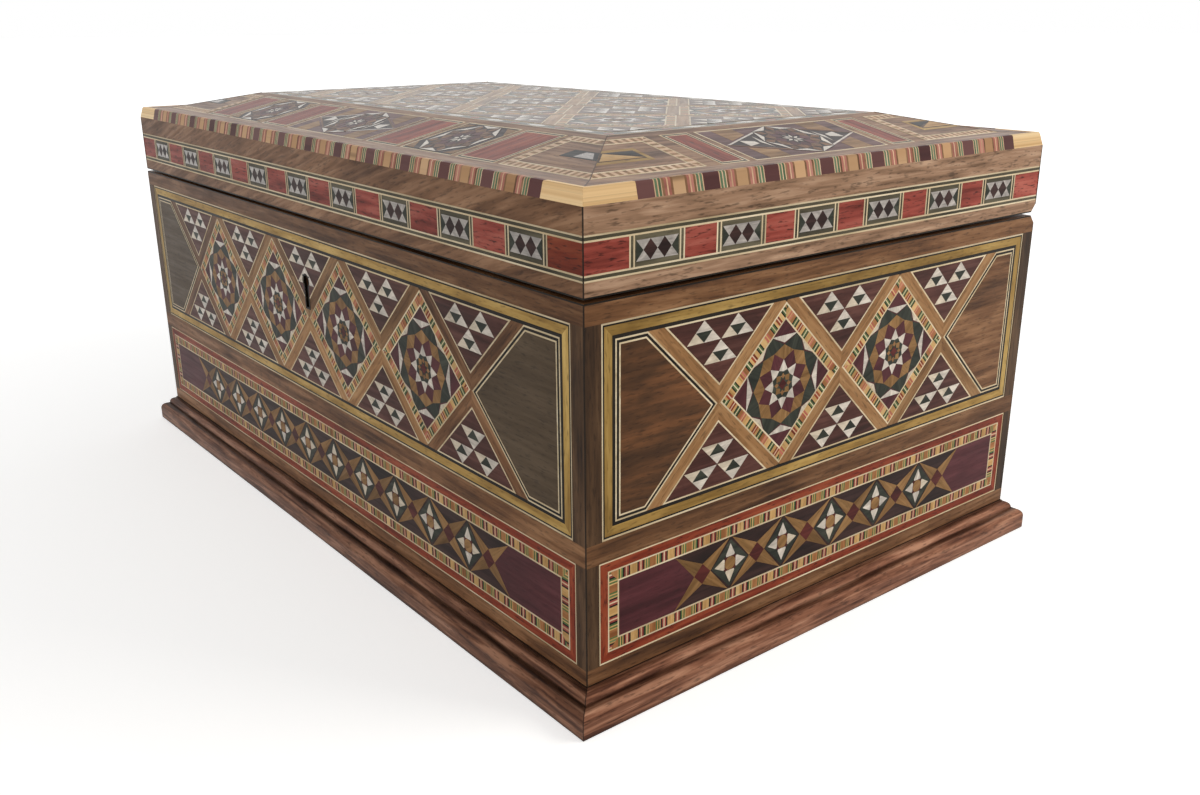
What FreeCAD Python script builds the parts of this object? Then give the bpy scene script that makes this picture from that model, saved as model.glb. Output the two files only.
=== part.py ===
import FreeCAD, Part
import math
import os

# Inlaid wooden box: mitred case on a moulded plinth, hinged coffered lid, till lock.
# Millimetres. Origin under the middle of the base, +X along the front, front towards -Y, +Z up.

# Case and plinth
case_length = 297.0
case_width = 184.0
case_height = 100.0
wall_thickness = 12.0
bottom_thickness = 5.0
bottom_lift = 3.0
groove_depth = 3.0
plinth_height = 10.0
plinth_projection = 6.0
plinth_base_height = 4.2
plinth_round = 2.7
plinth_quirk = 0.5
plinth_fillet = 0.5
fit_clearance = 0.1

# Inlay on the case, as a thin layer let into the walls
inlay_depth = 1.2
lower_rail = 4.6
frieze_height = 28.8
middle_rail = 5.8
upper_rail = 5.4
panel_inset = 5.1
panel_border_width = 4.3
star_pitch_front = 49.6
star_pitch_side = 48.0
end_panel_least = 30.0
star_tip_gap = 1.0
star_frame_width = 4.8
lattice_offset = 4.7
star_share = 0.54
notch_share = 0.62
cluster_width_share = 0.60
cluster_height_share = 0.32
cluster_gap = 0.6
frieze_inset = 4.1
frieze_band_width = 2.9
frieze_mosaic_width = 3.6
frieze_pitch = 20.9
frieze_end_least = 36.0
frieze_tile_half = 7.1

# Lid
lid_gap = 1.0
lid_side_height = 21.0
lid_rise = 10.0
lid_top_inset = 37.4
board_seat = 5.0
edge_width = 5.0
edge_rise = 4.0
edge_crease_inset = 0.35
edge_crease_rise = 1.4
edge_top_inset = 1.0
edge_lap = 2.4
edge_corner_length = 16.0
ledge_inset = 10.0
lid_band_margin = 3.75
string_height = 1.7
lid_tile_height = 7.4
lid_tile_width = 17.4
lid_tile_inset = 22.2
lid_tile_spacing = 30.0
slope_top_margin = 3.2
lozenge_half = 27.0
slope_gap = 2.4
side_corner_gap = 5.2
front_slat = 18.4
side_slat = 10.2
small_star_width = 27.4
corner_panel_least = 35.0
medallion_margin = 1.2
centre_border = 6.0

# Lining
lining_thickness = 1.5
lining_drop = 0.6
lining_clearance = 0.3

# Hinges
lid_travel = 100.0
stop_clearance = 1.0
hinge_axis_inset = 2.6
hinge_spread = 170.0
hinge_length = 30.0
knuckle_count = 3
knuckle_gap = 0.15
leaf_width = 8.2
leaf_thickness = 1.2
barrel_radius = 2.3
barrel_clearance = 0.4
pin_radius = 1.0
pin_clearance = 0.05

# Brass brads that hold the hinges and the lock
brad_radius = 0.8
brad_sides = 4
brad_length = 7.0
brad_clearance = 0.05
brad_spread = 20.0
brad_inset = 5.4
brad_margin = 3.5

# Lock
lock_length = 40.0
lock_height = 32.0
lock_depth = 6.5
lock_plate_thickness = 1.0
lock_plate_flange = 7.0
key_drop = 21.0
keyhole_radius = 2.0
keyhole_slot = 2.2
keyhole_height = 10.8
key_pin_radius = 0.9
key_pin_sides = 6
key_bit_radius = 6.8
bolt_travel = 5.0
bolt_length = 26.0
bolt_tail = 18.0
bolt_arm = 8.0
bolt_tip_drop = 2.2
bolt_tip_height = 4.0
bolt_tip_thickness = 1.8
bolt_tip_length = 4.85
bolt_clearance = 0.2
talon_width = 6.0
talon_depth = 3.5
staple_width = 4.5
staple_thickness = 2.5
staple_length = 9.0
staple_clearance = 0.5
eye_clearance = 0.3
strike_length = 32.0
strike_width = 7.0
strike_thickness = 1.2

# Levels and planes worked out from the sizes above
wall_base = plinth_height
wall_top = wall_base + case_height
lid_base = wall_top + lid_gap
lid_side_top = lid_base + lid_side_height
lid_top = lid_side_top + lid_rise
board_base = lid_side_top - board_seat
frieze_low = wall_base + lower_rail
frieze_high = frieze_low + frieze_height
panel_low = frieze_high + middle_rail
panel_high = wall_top - upper_rail
hinge_y = case_width / 2 - hinge_axis_inset
hinge_z = (wall_top + lid_base) / 2
front_inside = -case_width / 2 + wall_thickness

FACES = ("front", "right", "back", "left")
Vec = FreeCAD.Vector
UP = Vec(0, 0, 1)
ORIGIN = Vec(0, 0, 0)
nodes = {}


def add(name, *solids):
    nodes.setdefault(name, []).extend(solids)


def face_length(face):
    return case_length if face in ("front", "back") else case_width


def face_reach(face):
    return (case_width if face in ("front", "back") else case_length) / 2


def turn(shape, face):
    """Moves a shape made on the front plane round to a face of the box."""
    turned = shape.copy()
    turned.rotate(ORIGIN, UP, 90 * FACES.index(face))
    return turned


def box(x, y, z):
    """Block between the given low and high values of each axis."""
    return Part.makeBox(x[1] - x[0], y[1] - y[0], z[1] - z[0], Vec(x[0], y[0], z[0]))


def polygon(points):
    corners = [Vec(*point) for point in points]
    return Part.Face(Part.makePolygon(corners + corners[:1]))


def upright(points, reach, depth=inlay_depth):
    """Outline of (u, z) points on the front plane, made solid inwards."""
    return polygon([(u, -reach, z) for u, z in points]).extrude(Vec(0, depth, 0))


def level(points, low, high):
    """Plan outline of (x, y) points between two heights."""
    return polygon([(x, y, low) for x, y in points]).extrude(Vec(0, 0, high - low))


def along(points, length):
    """Section of (y, z) points, run along X about the middle."""
    return polygon([(-length / 2, y, z) for y, z in points]).extrude(Vec(length, 0, 0))


def rectangle(left, right, low, high):
    return [(left, low), (right, low), (right, high), (left, high)]


def mitred(length, reach, depth, low, high, outset=0.0):
    """Front bar of a frame, cut at 45 degrees at both ends."""
    outer = length / 2 + outset
    inner = length / 2 - depth
    plan = [(-outer, -reach - outset), (outer, -reach - outset)]
    plan += [(inner, -reach + depth), (-inner, -reach + depth)]
    return level(plan, low, high)


def picture_frame(left, right, low, high, width, reach):
    """Four strips round a rectangle on the front plane, mitred at the corners."""
    outer = rectangle(left, right, low, high)
    inner = rectangle(left + width, right - width, low + width, high - width)
    strips = []
    for i in range(4):
        j = (i + 1) % 4
        strips.append(upright([outer[i], outer[j], inner[j], inner[i]], reach))
    return strips


def diamond(middle, height, half_width, half_height):
    return [(middle - half_width, height), (middle, height - half_height),
            (middle + half_width, height), (middle, height + half_height)]


def star(middle, height, outer, inner, count):
    """Star outline with its first point straight up."""
    points = []
    for i in range(2 * count):
        radius = outer if i % 2 == 0 else inner
        angle = math.pi / 2 + i * math.pi / count
        points.append((middle + radius * math.cos(angle), height + radius * math.sin(angle)))
    return points


def regular(middle, height, radius, count):
    """Regular polygon with its first corner towards the right."""
    points = []
    for i in range(count):
        angle = 2 * math.pi * i / count
        points.append((middle + radius * math.cos(angle), height + radius * math.sin(angle)))
    return points


def spread(count, pitch):
    """Places of a centred row."""
    return [(i - (count - 1) / 2) * pitch for i in range(count)]


def brad(clearance=0.0):
    """Faceted brad pointing down from the origin, or the hole for it."""
    return level(regular(0, 0, brad_radius + clearance, brad_sides), -brad_length - clearance, 0)


def place(shape, tilt, position):
    """Tilts a shape about X, then moves it."""
    moved = shape.copy()
    moved.rotate(ORIGIN, Vec(1, 0, 0), tilt)
    moved.translate(Vec(*position))
    return moved


# Hinge places and the bevels behind the axis that stop the open lid
hinge_places = [-hinge_spread / 2, hinge_spread / 2]
bevel_angle = math.radians((lid_travel + stop_clearance) / 2)
bevel_run = hinge_axis_inset + wall_thickness
bevel_drop = bevel_run * math.tan(bevel_angle)


def rear_bevel(side):
    """Wood to take off behind the hinge axis: side -1 on the case, +1 on the lid."""
    section = [(hinge_y, hinge_z), (hinge_y + bevel_run, hinge_z + side * bevel_drop)]
    section += [(hinge_y + bevel_run, hinge_z - side * bevel_run), (hinge_y, hinge_z - side * bevel_run)]
    return along(section, case_length + 2 * wall_thickness)


def barrel(middle, radius, length):
    return Part.makeCylinder(radius, length, Vec(middle - length / 2, hinge_y, hinge_z), Vec(1, 0, 0))


def hinge_recess(middle, leaf_low):
    """Mortise for one leaf and the notch for the barrel."""
    half = hinge_length / 2 + fit_clearance
    mortise = box((middle - half, middle + half),
                  (hinge_y - leaf_width - fit_clearance, hinge_y),
                  (leaf_low, leaf_low + leaf_thickness))
    room = barrel_radius + barrel_clearance
    notch = box((middle - half - barrel_clearance, middle + half + barrel_clearance),
                (hinge_y - room, hinge_y + bevel_run), (hinge_z - room, hinge_z + room))
    return mortise.fuse(notch)


def leaf_brads(middle, seat, tilt, clearance=0.0):
    """The two brads of one leaf, driven down (tilt 0) or up (tilt 180)."""
    return [place(brad(clearance), tilt, (middle + offset, hinge_y - brad_inset, seat))
            for offset in (-brad_spread / 2, brad_spread / 2)]


def hinge_leaf(middle, leaf_low, first, seat, tilt):
    """Leaf with every second knuckle of the barrel, starting at the given one."""
    half = hinge_length / 2
    heights = (leaf_low, leaf_low + leaf_thickness)
    notch = hinge_y - barrel_radius - barrel_clearance
    leaf = box((middle - half, middle + half), (hinge_y - leaf_width, notch), heights)
    step = hinge_length / knuckle_count
    for i in range(first, knuckle_count, 2):
        centre = middle + (i - (knuckle_count - 1) / 2) * step
        width = step - knuckle_gap
        tongue = box((centre - width / 2, centre + width / 2), (notch, hinge_y), heights)
        leaf = leaf.fuse([tongue, barrel(centre, barrel_radius, width)])
    leaf = leaf.cut(barrel(middle, pin_radius + pin_clearance, 2 * hinge_length))
    return leaf.cut(leaf_brads(middle, seat, tilt, brad_clearance)).removeSplitter()


# Lock, measured from the top of the front wall and its inner face
lock_back = front_inside - lock_plate_thickness
lock_front = lock_back - lock_depth
lock_low = wall_top - lock_height
plate_half = lock_length / 2 + lock_plate_flange
key_z = wall_top - key_drop
bolt_back = lock_back - bolt_clearance
bolt_top = wall_top - bolt_tip_drop
bolt_middle = bolt_top - bolt_arm
bolt_low = bolt_middle - bolt_arm
tip_y = bolt_back - 2 * bolt_tip_thickness
staple_y = tip_y + bolt_tip_thickness / 2
tip_start = -staple_thickness / 2 - bolt_tip_length - eye_clearance * 3
tip_end = tip_start + bolt_tip_length
tip_low = bolt_top - bolt_tip_height


def bolt_shape(clearance=0.0, travel=0.0):
    """Sliding bolt, or the channel that it runs in."""
    c = clearance
    depth = (tip_y - c, bolt_back + (bolt_clearance if c else 0))
    lower = box((-bolt_tail - c, bolt_length - bolt_tail + travel + c), depth, (bolt_low - c, bolt_middle + c))
    upper = box((-bolt_tail - c, tip_start + travel + c), depth, (bolt_middle - c, bolt_top + c))
    tip = box((tip_start - c, tip_end + travel + c), (tip_y - c, tip_y + bolt_tip_thickness + c),
              (tip_low - c, bolt_top + c))
    return lower.fuse([upper, tip]).removeSplitter()


def keyhole(front, back):
    """Round hole with a slot below it, from front to back."""
    length = back - front
    low = key_z + keyhole_radius - keyhole_height
    slot = box((-keyhole_slot / 2, keyhole_slot / 2), (front, back), (low, key_z))
    hole = Part.makeCylinder(keyhole_radius, length, Vec(0, front, key_z), Vec(0, 1, 0))
    return hole.fuse(slot).removeSplitter()


def lock_brads(clearance=0.0):
    across = plate_half - brad_margin
    heights = (lock_low + brad_margin, wall_top - brad_margin)
    return [place(brad(clearance), -90, (x, front_inside, z)) for x in (-across, across) for z in heights]


def strike_brads(clearance=0.0):
    across = strike_length / 2 - brad_margin
    return [place(brad(clearance), 180, (x, staple_y, lid_base)) for x in (-across, across)]


# Case walls, bottom and plinth
lock_pocket = box((-lock_length / 2 - fit_clearance, lock_length / 2 + fit_clearance),
                  (lock_front - fit_clearance, front_inside), (lock_low - fit_clearance, wall_top))
plate_pocket = box((-plate_half - fit_clearance, plate_half + fit_clearance),
                   (lock_back, front_inside), (lock_low - fit_clearance, wall_top))
key_passage = keyhole(-case_width / 2 - wall_thickness, lock_front)
groove_low = wall_base + bottom_lift
groove_high = groove_low + bottom_thickness + fit_clearance


def case_wall(face):
    length = face_length(face)
    reach = face_reach(face)
    wall = mitred(length, reach, wall_thickness, wall_base, wall_top)
    half = length / 2
    panel = rectangle(panel_inset - half, half - panel_inset, panel_low, panel_high)
    frieze = rectangle(frieze_inset - half, half - frieze_inset, frieze_low, frieze_high)
    groove = box((-half, half), (-reach + wall_thickness - groove_depth, -reach + wall_thickness),
                 (groove_low, groove_high))
    wall = turn(wall.cut([upright(panel, reach), upright(frieze, reach), groove]), face)
    if face == "front":
        return wall.cut([lock_pocket, plate_pocket, key_passage] + lock_brads(brad_clearance))
    tools = [rear_bevel(-1)]
    if face == "back":
        for middle in hinge_places:
            tools.append(hinge_recess(middle, wall_top - leaf_thickness))
            tools += leaf_brads(middle, wall_top, 0, brad_clearance)
    return wall.cut(tools)


def plinth_moulding(face):
    """Base, lower round, quirk and upper round, mitred at the corners."""
    length = face_length(face)
    reach = face_reach(face)
    out = plinth_projection
    shoulder = out - plinth_round
    bead_out = shoulder - plinth_quirk
    round_top = plinth_base_height + plinth_round
    bead_low = round_top + plinth_quirk
    bead_high = plinth_height - plinth_fillet
    half_turn = math.sqrt(0.5)

    def at(outwards, z):
        return Vec(-length, -reach - outwards, z)

    lower_middle = at(shoulder + plinth_round * half_turn, plinth_base_height + plinth_round * half_turn)
    upper_middle = at(plinth_fillet + (bead_out - plinth_fillet) * half_turn,
                      bead_low + (bead_high - bead_low) * half_turn)
    corners = [at(plinth_fillet, bead_high), at(plinth_fillet, plinth_height),
               at(-wall_thickness, plinth_height), at(-wall_thickness, 0), at(out, 0),
               at(out, plinth_base_height)]
    edges = [Part.LineSegment(a, b).toShape() for a, b in zip(corners, corners[1:])]
    edges.append(Part.Arc(corners[-1], lower_middle, at(shoulder, round_top)).toShape())
    quirk = [at(shoulder, round_top), at(bead_out, round_top), at(bead_out, bead_low)]
    edges += [Part.LineSegment(a, b).toShape() for a, b in zip(quirk, quirk[1:])]
    edges.append(Part.Arc(quirk[-1], upper_middle, corners[0]).toShape())
    bar = Part.Face(Part.Wire(Part.__sortEdges__(edges))).extrude(Vec(2 * length, 0, 0))
    ends = mitred(length, reach, wall_thickness, 0, plinth_height, plinth_projection)
    return turn(bar.common(ends), face)


for face in FACES:
    add(face + "_wall", case_wall(face))
    add("plinth_" + face, plinth_moulding(face))

bottom_margin = wall_thickness - groove_depth + fit_clearance
add("bottom_board", box((bottom_margin - case_length / 2, case_length / 2 - bottom_margin),
                        (bottom_margin - case_width / 2, case_width / 2 - bottom_margin),
                        (groove_low, groove_low + bottom_thickness)))

# Main panels: border strips, star tiles, triangle tiles, end panels and the lattice between them
field_half_height = (panel_high - panel_low) / 2 - panel_border_width
field_middle = (panel_high + panel_low) / 2


def star_tile(middle, pitch, reach, face):
    """Mosaic frame, dark ground and the eight-pointed star let into it."""
    half_width = (pitch - star_tip_gap) / 2
    half_height = field_half_height * half_width * 2 / pitch
    inner_width = half_width - star_frame_width
    inner_height = half_height * inner_width / half_width
    outside = upright(diamond(middle, field_middle, half_width, half_height), reach)
    ground = upright(diamond(middle, field_middle, inner_width, inner_height), reach)
    room = inner_width * inner_height / math.hypot(inner_width, inner_height)
    radius = room * star_share
    rays = upright(star(middle, field_middle, radius, radius * notch_share, 8), reach)
    add("star_frames", turn(outside.cut(ground), face))
    add("star_grounds", turn(ground.cut(rays), face))
    add("star_points", turn(rays, face))
    return outside


def triangle_tile(middle, side, pitch, reach, field):
    """Triangle above (side 1) or below (side -1) a crossing, with its three inlaid triangles."""
    slope = pitch / 2 / field_half_height
    base_half = (field_half_height - lattice_offset) * slope
    rise = field_half_height - lattice_offset
    base = field_middle + side * field_half_height
    apex = field_middle + side * lattice_offset
    tile = upright([(middle - base_half, base), (middle + base_half, base), (middle, apex)], reach)
    width = base_half * cluster_width_share
    height = rise * cluster_height_share
    chips = []
    half = (width - cluster_gap) / 2
    for centre, row in ((middle - width / 2, 1), (middle + width / 2, 1), (middle, 2)):
        foot = base - side * row * height
        head = foot + side * (height - cluster_gap)
        chips.append(upright([(centre - half, foot), (centre + half, foot), (centre, head)], reach))
    return tile.common(field), [chip.common(field) for chip in chips]


def main_panel(face):
    length = face_length(face)
    reach = face_reach(face)
    half = length / 2 - panel_inset
    add("panel_border_" + face,
        *[turn(strip, face) for strip in
          picture_frame(-half, half, panel_low, panel_high, panel_border_width, reach)])
    half -= panel_border_width
    low = field_middle - field_half_height
    high = field_middle + field_half_height
    field = upright(rectangle(-half, half, low, high), reach)
    pitch = star_pitch_front if length == case_length else star_pitch_side
    count = int((2 * half - 2 * end_panel_least) // pitch)
    holes = [star_tile(middle, pitch, reach, face) for middle in spread(count, pitch)]
    for middle in spread(count + 1, pitch):
        for side in (1, -1):
            tile, chips = triangle_tile(middle, side, pitch, reach, field)
            holes.append(tile)
            tile = turn(tile.cut(chips), face)
            chips = [turn(chip, face) for chip in chips]
            if face == "front":
                tile = tile.cut(key_passage)
                chips = [chip.cut(key_passage) for chip in chips]
            add("triangle_tiles", tile)
            add("triangle_inlays", *[solid for chip in chips for solid in chip.Solids])
    tip = count * pitch / 2 + star_tip_gap / 2
    for side in (1, -1):
        shoulder = side * (tip + pitch / 2)
        arrow = [(side * tip, field_middle), (shoulder, high), (side * (half + pitch), high),
                 (side * (half + pitch), low), (shoulder, low)]
        end = upright(arrow, reach).common(field)
        holes.append(end)
        add("end_panels", turn(end, face))
    lattice = turn(field.cut(holes), face)
    if face == "front":
        lattice = lattice.cut(key_passage)
    add("panel_lattices", *lattice.Solids)


def frieze(face):
    """Red band, mosaic strips and the dark field with its chain of star tiles."""
    length = face_length(face)
    reach = face_reach(face)
    half = length / 2 - frieze_inset
    bands = picture_frame(-half, half, frieze_low, frieze_high, frieze_band_width, reach)
    add("frieze_bands", *[turn(strip, face) for strip in bands])
    half -= frieze_band_width
    low = frieze_low + frieze_band_width
    high = frieze_high - frieze_band_width
    strips = picture_frame(-half, half, low, high, frieze_mosaic_width, reach)
    add("frieze_mosaics", *[turn(strip, face) for strip in strips])
    half -= frieze_mosaic_width
    low += frieze_mosaic_width
    high -= frieze_mosaic_width
    middle = (low + high) / 2
    count = int((2 * half - 2 * frieze_end_least) // frieze_pitch) + 1
    tiles = [upright(diamond(u, middle, frieze_tile_half, frieze_tile_half), reach)
             for u in spread(count, frieze_pitch)]
    field = upright(rectangle(-half, half, low, high), reach)
    add("frieze_field_" + face, turn(field.cut(tiles), face))
    add("frieze_tiles", *[turn(tile, face) for tile in tiles])


for face in FACES:
    main_panel(face)
    frieze(face)

# Lid rails with the inlaid band, the edge strips and the bevelled top board
ledge_z = lid_side_top + edge_rise
board_half_x = case_length / 2 - edge_width
board_half_y = case_width / 2 - edge_width
top_half_x = case_length / 2 - lid_top_inset
top_half_y = case_width / 2 - lid_top_inset
band_low = lid_base + lid_band_margin
tile_low = band_low + string_height
tile_high = tile_low + lid_tile_height
band_high = tile_high + string_height

board_block = box((-board_half_x, board_half_x), (-board_half_y, board_half_y),
                  (board_base, ledge_z - inlay_depth))
strike_plate = box((-strike_length / 2, strike_length / 2),
                   (staple_y - strike_width / 2, staple_y + strike_width / 2),
                   (lid_base, lid_base + strike_thickness))


def bevelled_board():
    """Top board with a ledge and four slopes, as the room shared by two sections run across each other."""
    foot = ledge_z - inlay_depth
    head = lid_top - inlay_depth

    def section(half, top_half):
        ledge_half = half + edge_width - ledge_inset
        return [(-half, board_base), (half, board_base), (half, foot), (ledge_half, foot), (top_half, head),
                (-top_half, head), (-ledge_half, foot), (-half, foot)]

    lengthways = along(section(board_half_y, top_half_y), case_length)
    across = along(section(board_half_x, top_half_x), case_width)
    across.rotate(ORIGIN, UP, 90)
    return lengthways.common(across)


def lid_rail(face):
    length = face_length(face)
    reach = face_reach(face)
    rail = mitred(length, reach, wall_thickness, lid_base, lid_side_top)
    rail = turn(rail.cut(mitred(length, reach, inlay_depth, band_low, band_high)), face)
    tools = [board_block]
    if face == "front":
        tools += [strike_plate] + strike_brads(brad_clearance)
    else:
        tools.append(rear_bevel(1))
    if face == "back":
        for middle in hinge_places:
            tools.append(hinge_recess(middle, lid_base))
            tools += leaf_brads(middle, lid_base, 180, brad_clearance)
    return rail.cut(tools)


def lid_band(face):
    """Two string lines with inlaid tiles and red blocks between them."""
    length = face_length(face)
    reach = face_reach(face)
    for low in (band_low, tile_high):
        add("lid_stringing", turn(mitred(length, reach, inlay_depth, low, low + string_height), face))
    row = mitred(length, reach, inlay_depth, tile_low, tile_high)
    run = length - 2 * lid_tile_inset
    count = round(run / lid_tile_spacing) + 1
    tiles = [upright(rectangle(u - lid_tile_width / 2, u + lid_tile_width / 2, tile_low, tile_high), reach)
             for u in spread(count, run / (count - 1))]
    add("lid_tiles", *[turn(tile, face) for tile in tiles])
    add("lid_red_blocks", *turn(row.cut(tiles), face).Solids)


def lid_edge(face):
    """Striped strip on the lid's top edge, lapped by the veneer, with plain mitred corner pieces."""
    length = face_length(face)
    reach = face_reach(face)
    section = [(-reach, lid_side_top), (-reach + edge_width, lid_side_top),
               (-reach + edge_width, ledge_z - inlay_depth), (-reach + edge_lap, ledge_z - inlay_depth),
               (-reach + edge_lap, ledge_z), (-reach + edge_top_inset, ledge_z),
               (-reach + edge_crease_inset, lid_side_top + edge_crease_rise)]
    ends = mitred(length, reach, edge_width, lid_side_top, ledge_z)
    bar = along(section, length).common(ends)
    half = length / 2 - edge_corner_length
    middle = box((-half, half), (-reach, -reach + edge_width), (lid_side_top, lid_top))
    add("lid_edge_strips", turn(bar.common(middle), face))
    add("lid_edge_corners", *turn(bar.cut(middle), face).Solids)


def slope_panels(face):
    """Places (left, right) of the lozenge, the red slats and the small stars on one slope."""
    long_side = face in ("front", "back")
    slat = front_slat if long_side else side_slat
    slats = []
    stars = [(-lozenge_half, lozenge_half)]
    edge = lozenge_half + slope_gap
    slats += [(edge, edge + slat), (-edge - slat, -edge)]
    edge += slat + slope_gap
    group = small_star_width + slope_gap + slat + slope_gap
    while face_length(face) / 2 - edge - group >= corner_panel_least:
        stars += [(edge, edge + small_star_width), (-edge - small_star_width, -edge)]
        edge += small_star_width + slope_gap
        slats += [(edge, edge + slat), (-edge - slat, -edge)]
        edge += slat + slope_gap
    return stars, slats, edge if long_side else edge - slope_gap + side_corner_gap


def lid_slope(face):
    """Veneer of one ledge and slope with its panels let in, mitred at the hips."""
    length = face_length(face)
    reach = face_reach(face)
    line = [(-reach + edge_lap, ledge_z), (-reach + ledge_inset, ledge_z), (-reach + lid_top_inset, lid_top)]
    section = [(y, z - inlay_depth) for y, z in line] + line[::-1]
    hips = mitred(length, reach, lid_top_inset, board_base, lid_top)
    slab = along(section, length).common(hips)
    near = -reach + ledge_inset
    far = -reach + lid_top_inset - slope_top_margin
    stars, slats, edge = slope_panels(face)

    def panel(left, right):
        return slab.common(box((left, right), (near, far), (board_base, lid_top)))

    middle_y = (near + far) / 2
    radius = (far - near) / 2 - medallion_margin
    medallions = []
    for left, right in stars:
        outline = regular((left + right) / 2, middle_y, radius, 8)
        medallions.append(slab.common(level(outline, board_base, lid_top)))
    star_plates = [panel(left, right) for left, right in stars]
    slat_plates = [panel(left, right) for left, right in slats]
    corner_plates = [panel(edge, length), panel(-length, -edge)]
    add("lid_slope_veneers", turn(slab.cut(star_plates + slat_plates + corner_plates), face))
    add("lid_corner_panels", *[turn(plate, face) for plate in corner_plates])
    add("lid_red_slats", *[turn(plate, face) for plate in slat_plates])
    add("lid_star_panels", *[turn(plate.cut(medallions), face) for plate in star_plates])
    add("lid_medallions", *[turn(solid, face) for solid in medallions])


def lid_centre_strip(face):
    length = 2 * (top_half_x if face in ("front", "back") else top_half_y)
    reach = top_half_y if face in ("front", "back") else top_half_x
    return turn(mitred(length, reach, centre_border, lid_top - inlay_depth, lid_top), face)


for face in FACES:
    add("lid_rail_" + face, lid_rail(face))
    lid_band(face)
    lid_edge(face)
    lid_slope(face)
    add("lid_centre_border", lid_centre_strip(face))

add("lid_top_board", bevelled_board())
field_half_x = top_half_x - centre_border
field_half_y = top_half_y - centre_border
add("lid_centre_panel", box((-field_half_x, field_half_x), (-field_half_y, field_half_y),
                            (lid_top - inlay_depth, lid_top)))

# Velvet-covered cards inside the case and the lid
room_half_x = case_length / 2 - wall_thickness
room_half_y = case_width / 2 - wall_thickness
floor_top = groove_low + bottom_thickness + lining_thickness
add("lining_floor", box((lining_clearance - room_half_x, room_half_x - lining_clearance),
                        (lining_clearance - room_half_y, room_half_y - lining_clearance),
                        (groove_low + bottom_thickness, floor_top)))
lock_window = box((-plate_half - lining_clearance, plate_half + lining_clearance),
                  (front_inside - lining_thickness, front_inside + 2 * lining_thickness),
                  (lock_low - lining_clearance, wall_top))
for face in FACES:
    length = face_length(face) - 2 * wall_thickness
    reach = face_reach(face) - wall_thickness
    card = turn(mitred(length, reach, lining_thickness, floor_top, wall_top - lining_drop), face)
    add("lining_walls", card.cut(lock_window) if face == "front" else card)
add("lid_lining", box((lining_clearance - room_half_x, room_half_x - lining_clearance),
                      (lining_clearance - room_half_y, room_half_y - lining_clearance),
                      (board_base - lining_thickness, board_base)))

# Hinges
for middle in hinge_places:
    add("hinge_case_leaves", hinge_leaf(middle, wall_top - leaf_thickness, 0, wall_top, 0))
    add("hinge_lid_leaves", hinge_leaf(middle, lid_base, 1, lid_base, 180))
    add("hinge_pins", barrel(middle, pin_radius, hinge_length))
    add("hinge_case_brads", *leaf_brads(middle, wall_top, 0))
    add("hinge_lid_brads", *leaf_brads(middle, lid_base, 180))

# Lock: case with its bolt channel, plate with the key pin, sliding bolt, strike with its staple
staple_half_x = staple_thickness / 2
staple_half_y = staple_width / 2
staple_low = lid_base - staple_length
staple_slot = box((-staple_half_x - staple_clearance, staple_half_x + staple_clearance),
                  (staple_y - staple_half_y - staple_clearance, lock_back),
                  (staple_low - staple_clearance, wall_top))
key_room = box((-key_bit_radius, key_bit_radius), (lock_front + lock_plate_thickness, lock_back),
               (key_z - key_bit_radius, key_z + key_bit_radius))
lock_block = box((-lock_length / 2, lock_length / 2), (lock_front, lock_back), (lock_low, wall_top))
add("lock_case", lock_block.cut([bolt_shape(bolt_clearance, bolt_travel), staple_slot, key_room,
                                 keyhole(lock_front, lock_back)]))
key_pin = level(regular(0, 0, key_pin_radius, key_pin_sides), 0, lock_depth)
key_pin = place(key_pin, 90, (0, lock_back, key_z))
lock_cover = box((-plate_half, plate_half), (lock_back, front_inside), (lock_low, wall_top))
add("lock_plate", lock_cover.fuse(key_pin).cut(lock_brads(brad_clearance)))
talon = box((-talon_width / 2, talon_width / 2), (lock_front, lock_back), (bolt_low, bolt_low + talon_depth))
add("lock_bolt", bolt_shape().cut(talon))
staple = box((-staple_half_x, staple_half_x), (staple_y - staple_half_y, staple_y + staple_half_y),
             (staple_low, lid_base))
eye_half = bolt_tip_thickness / 2 + eye_clearance
eye = box((-staple_thickness, staple_thickness), (staple_y - eye_half, staple_y + eye_half),
          (tip_low - eye_clearance, bolt_top + eye_clearance))
strike = strike_plate.cut(strike_brads(brad_clearance)).fuse(staple.cut(eye))
add("lock_strike", strike.removeSplitter())
add("lock_brads", *lock_brads())
add("strike_brads", *strike_brads())

os.makedirs("parts", exist_ok=True)
for name, solids in nodes.items():
    shape = solids[0] if len(solids) == 1 else Part.makeCompound(solids)
    shape.exportStep("parts/%s.step" % name)
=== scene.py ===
import random
from math import atan2, copysign, cos, hypot, inf, pi, radians, sin, sqrt, tan

import bpy
from mathutils import Matrix, Vector


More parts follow.
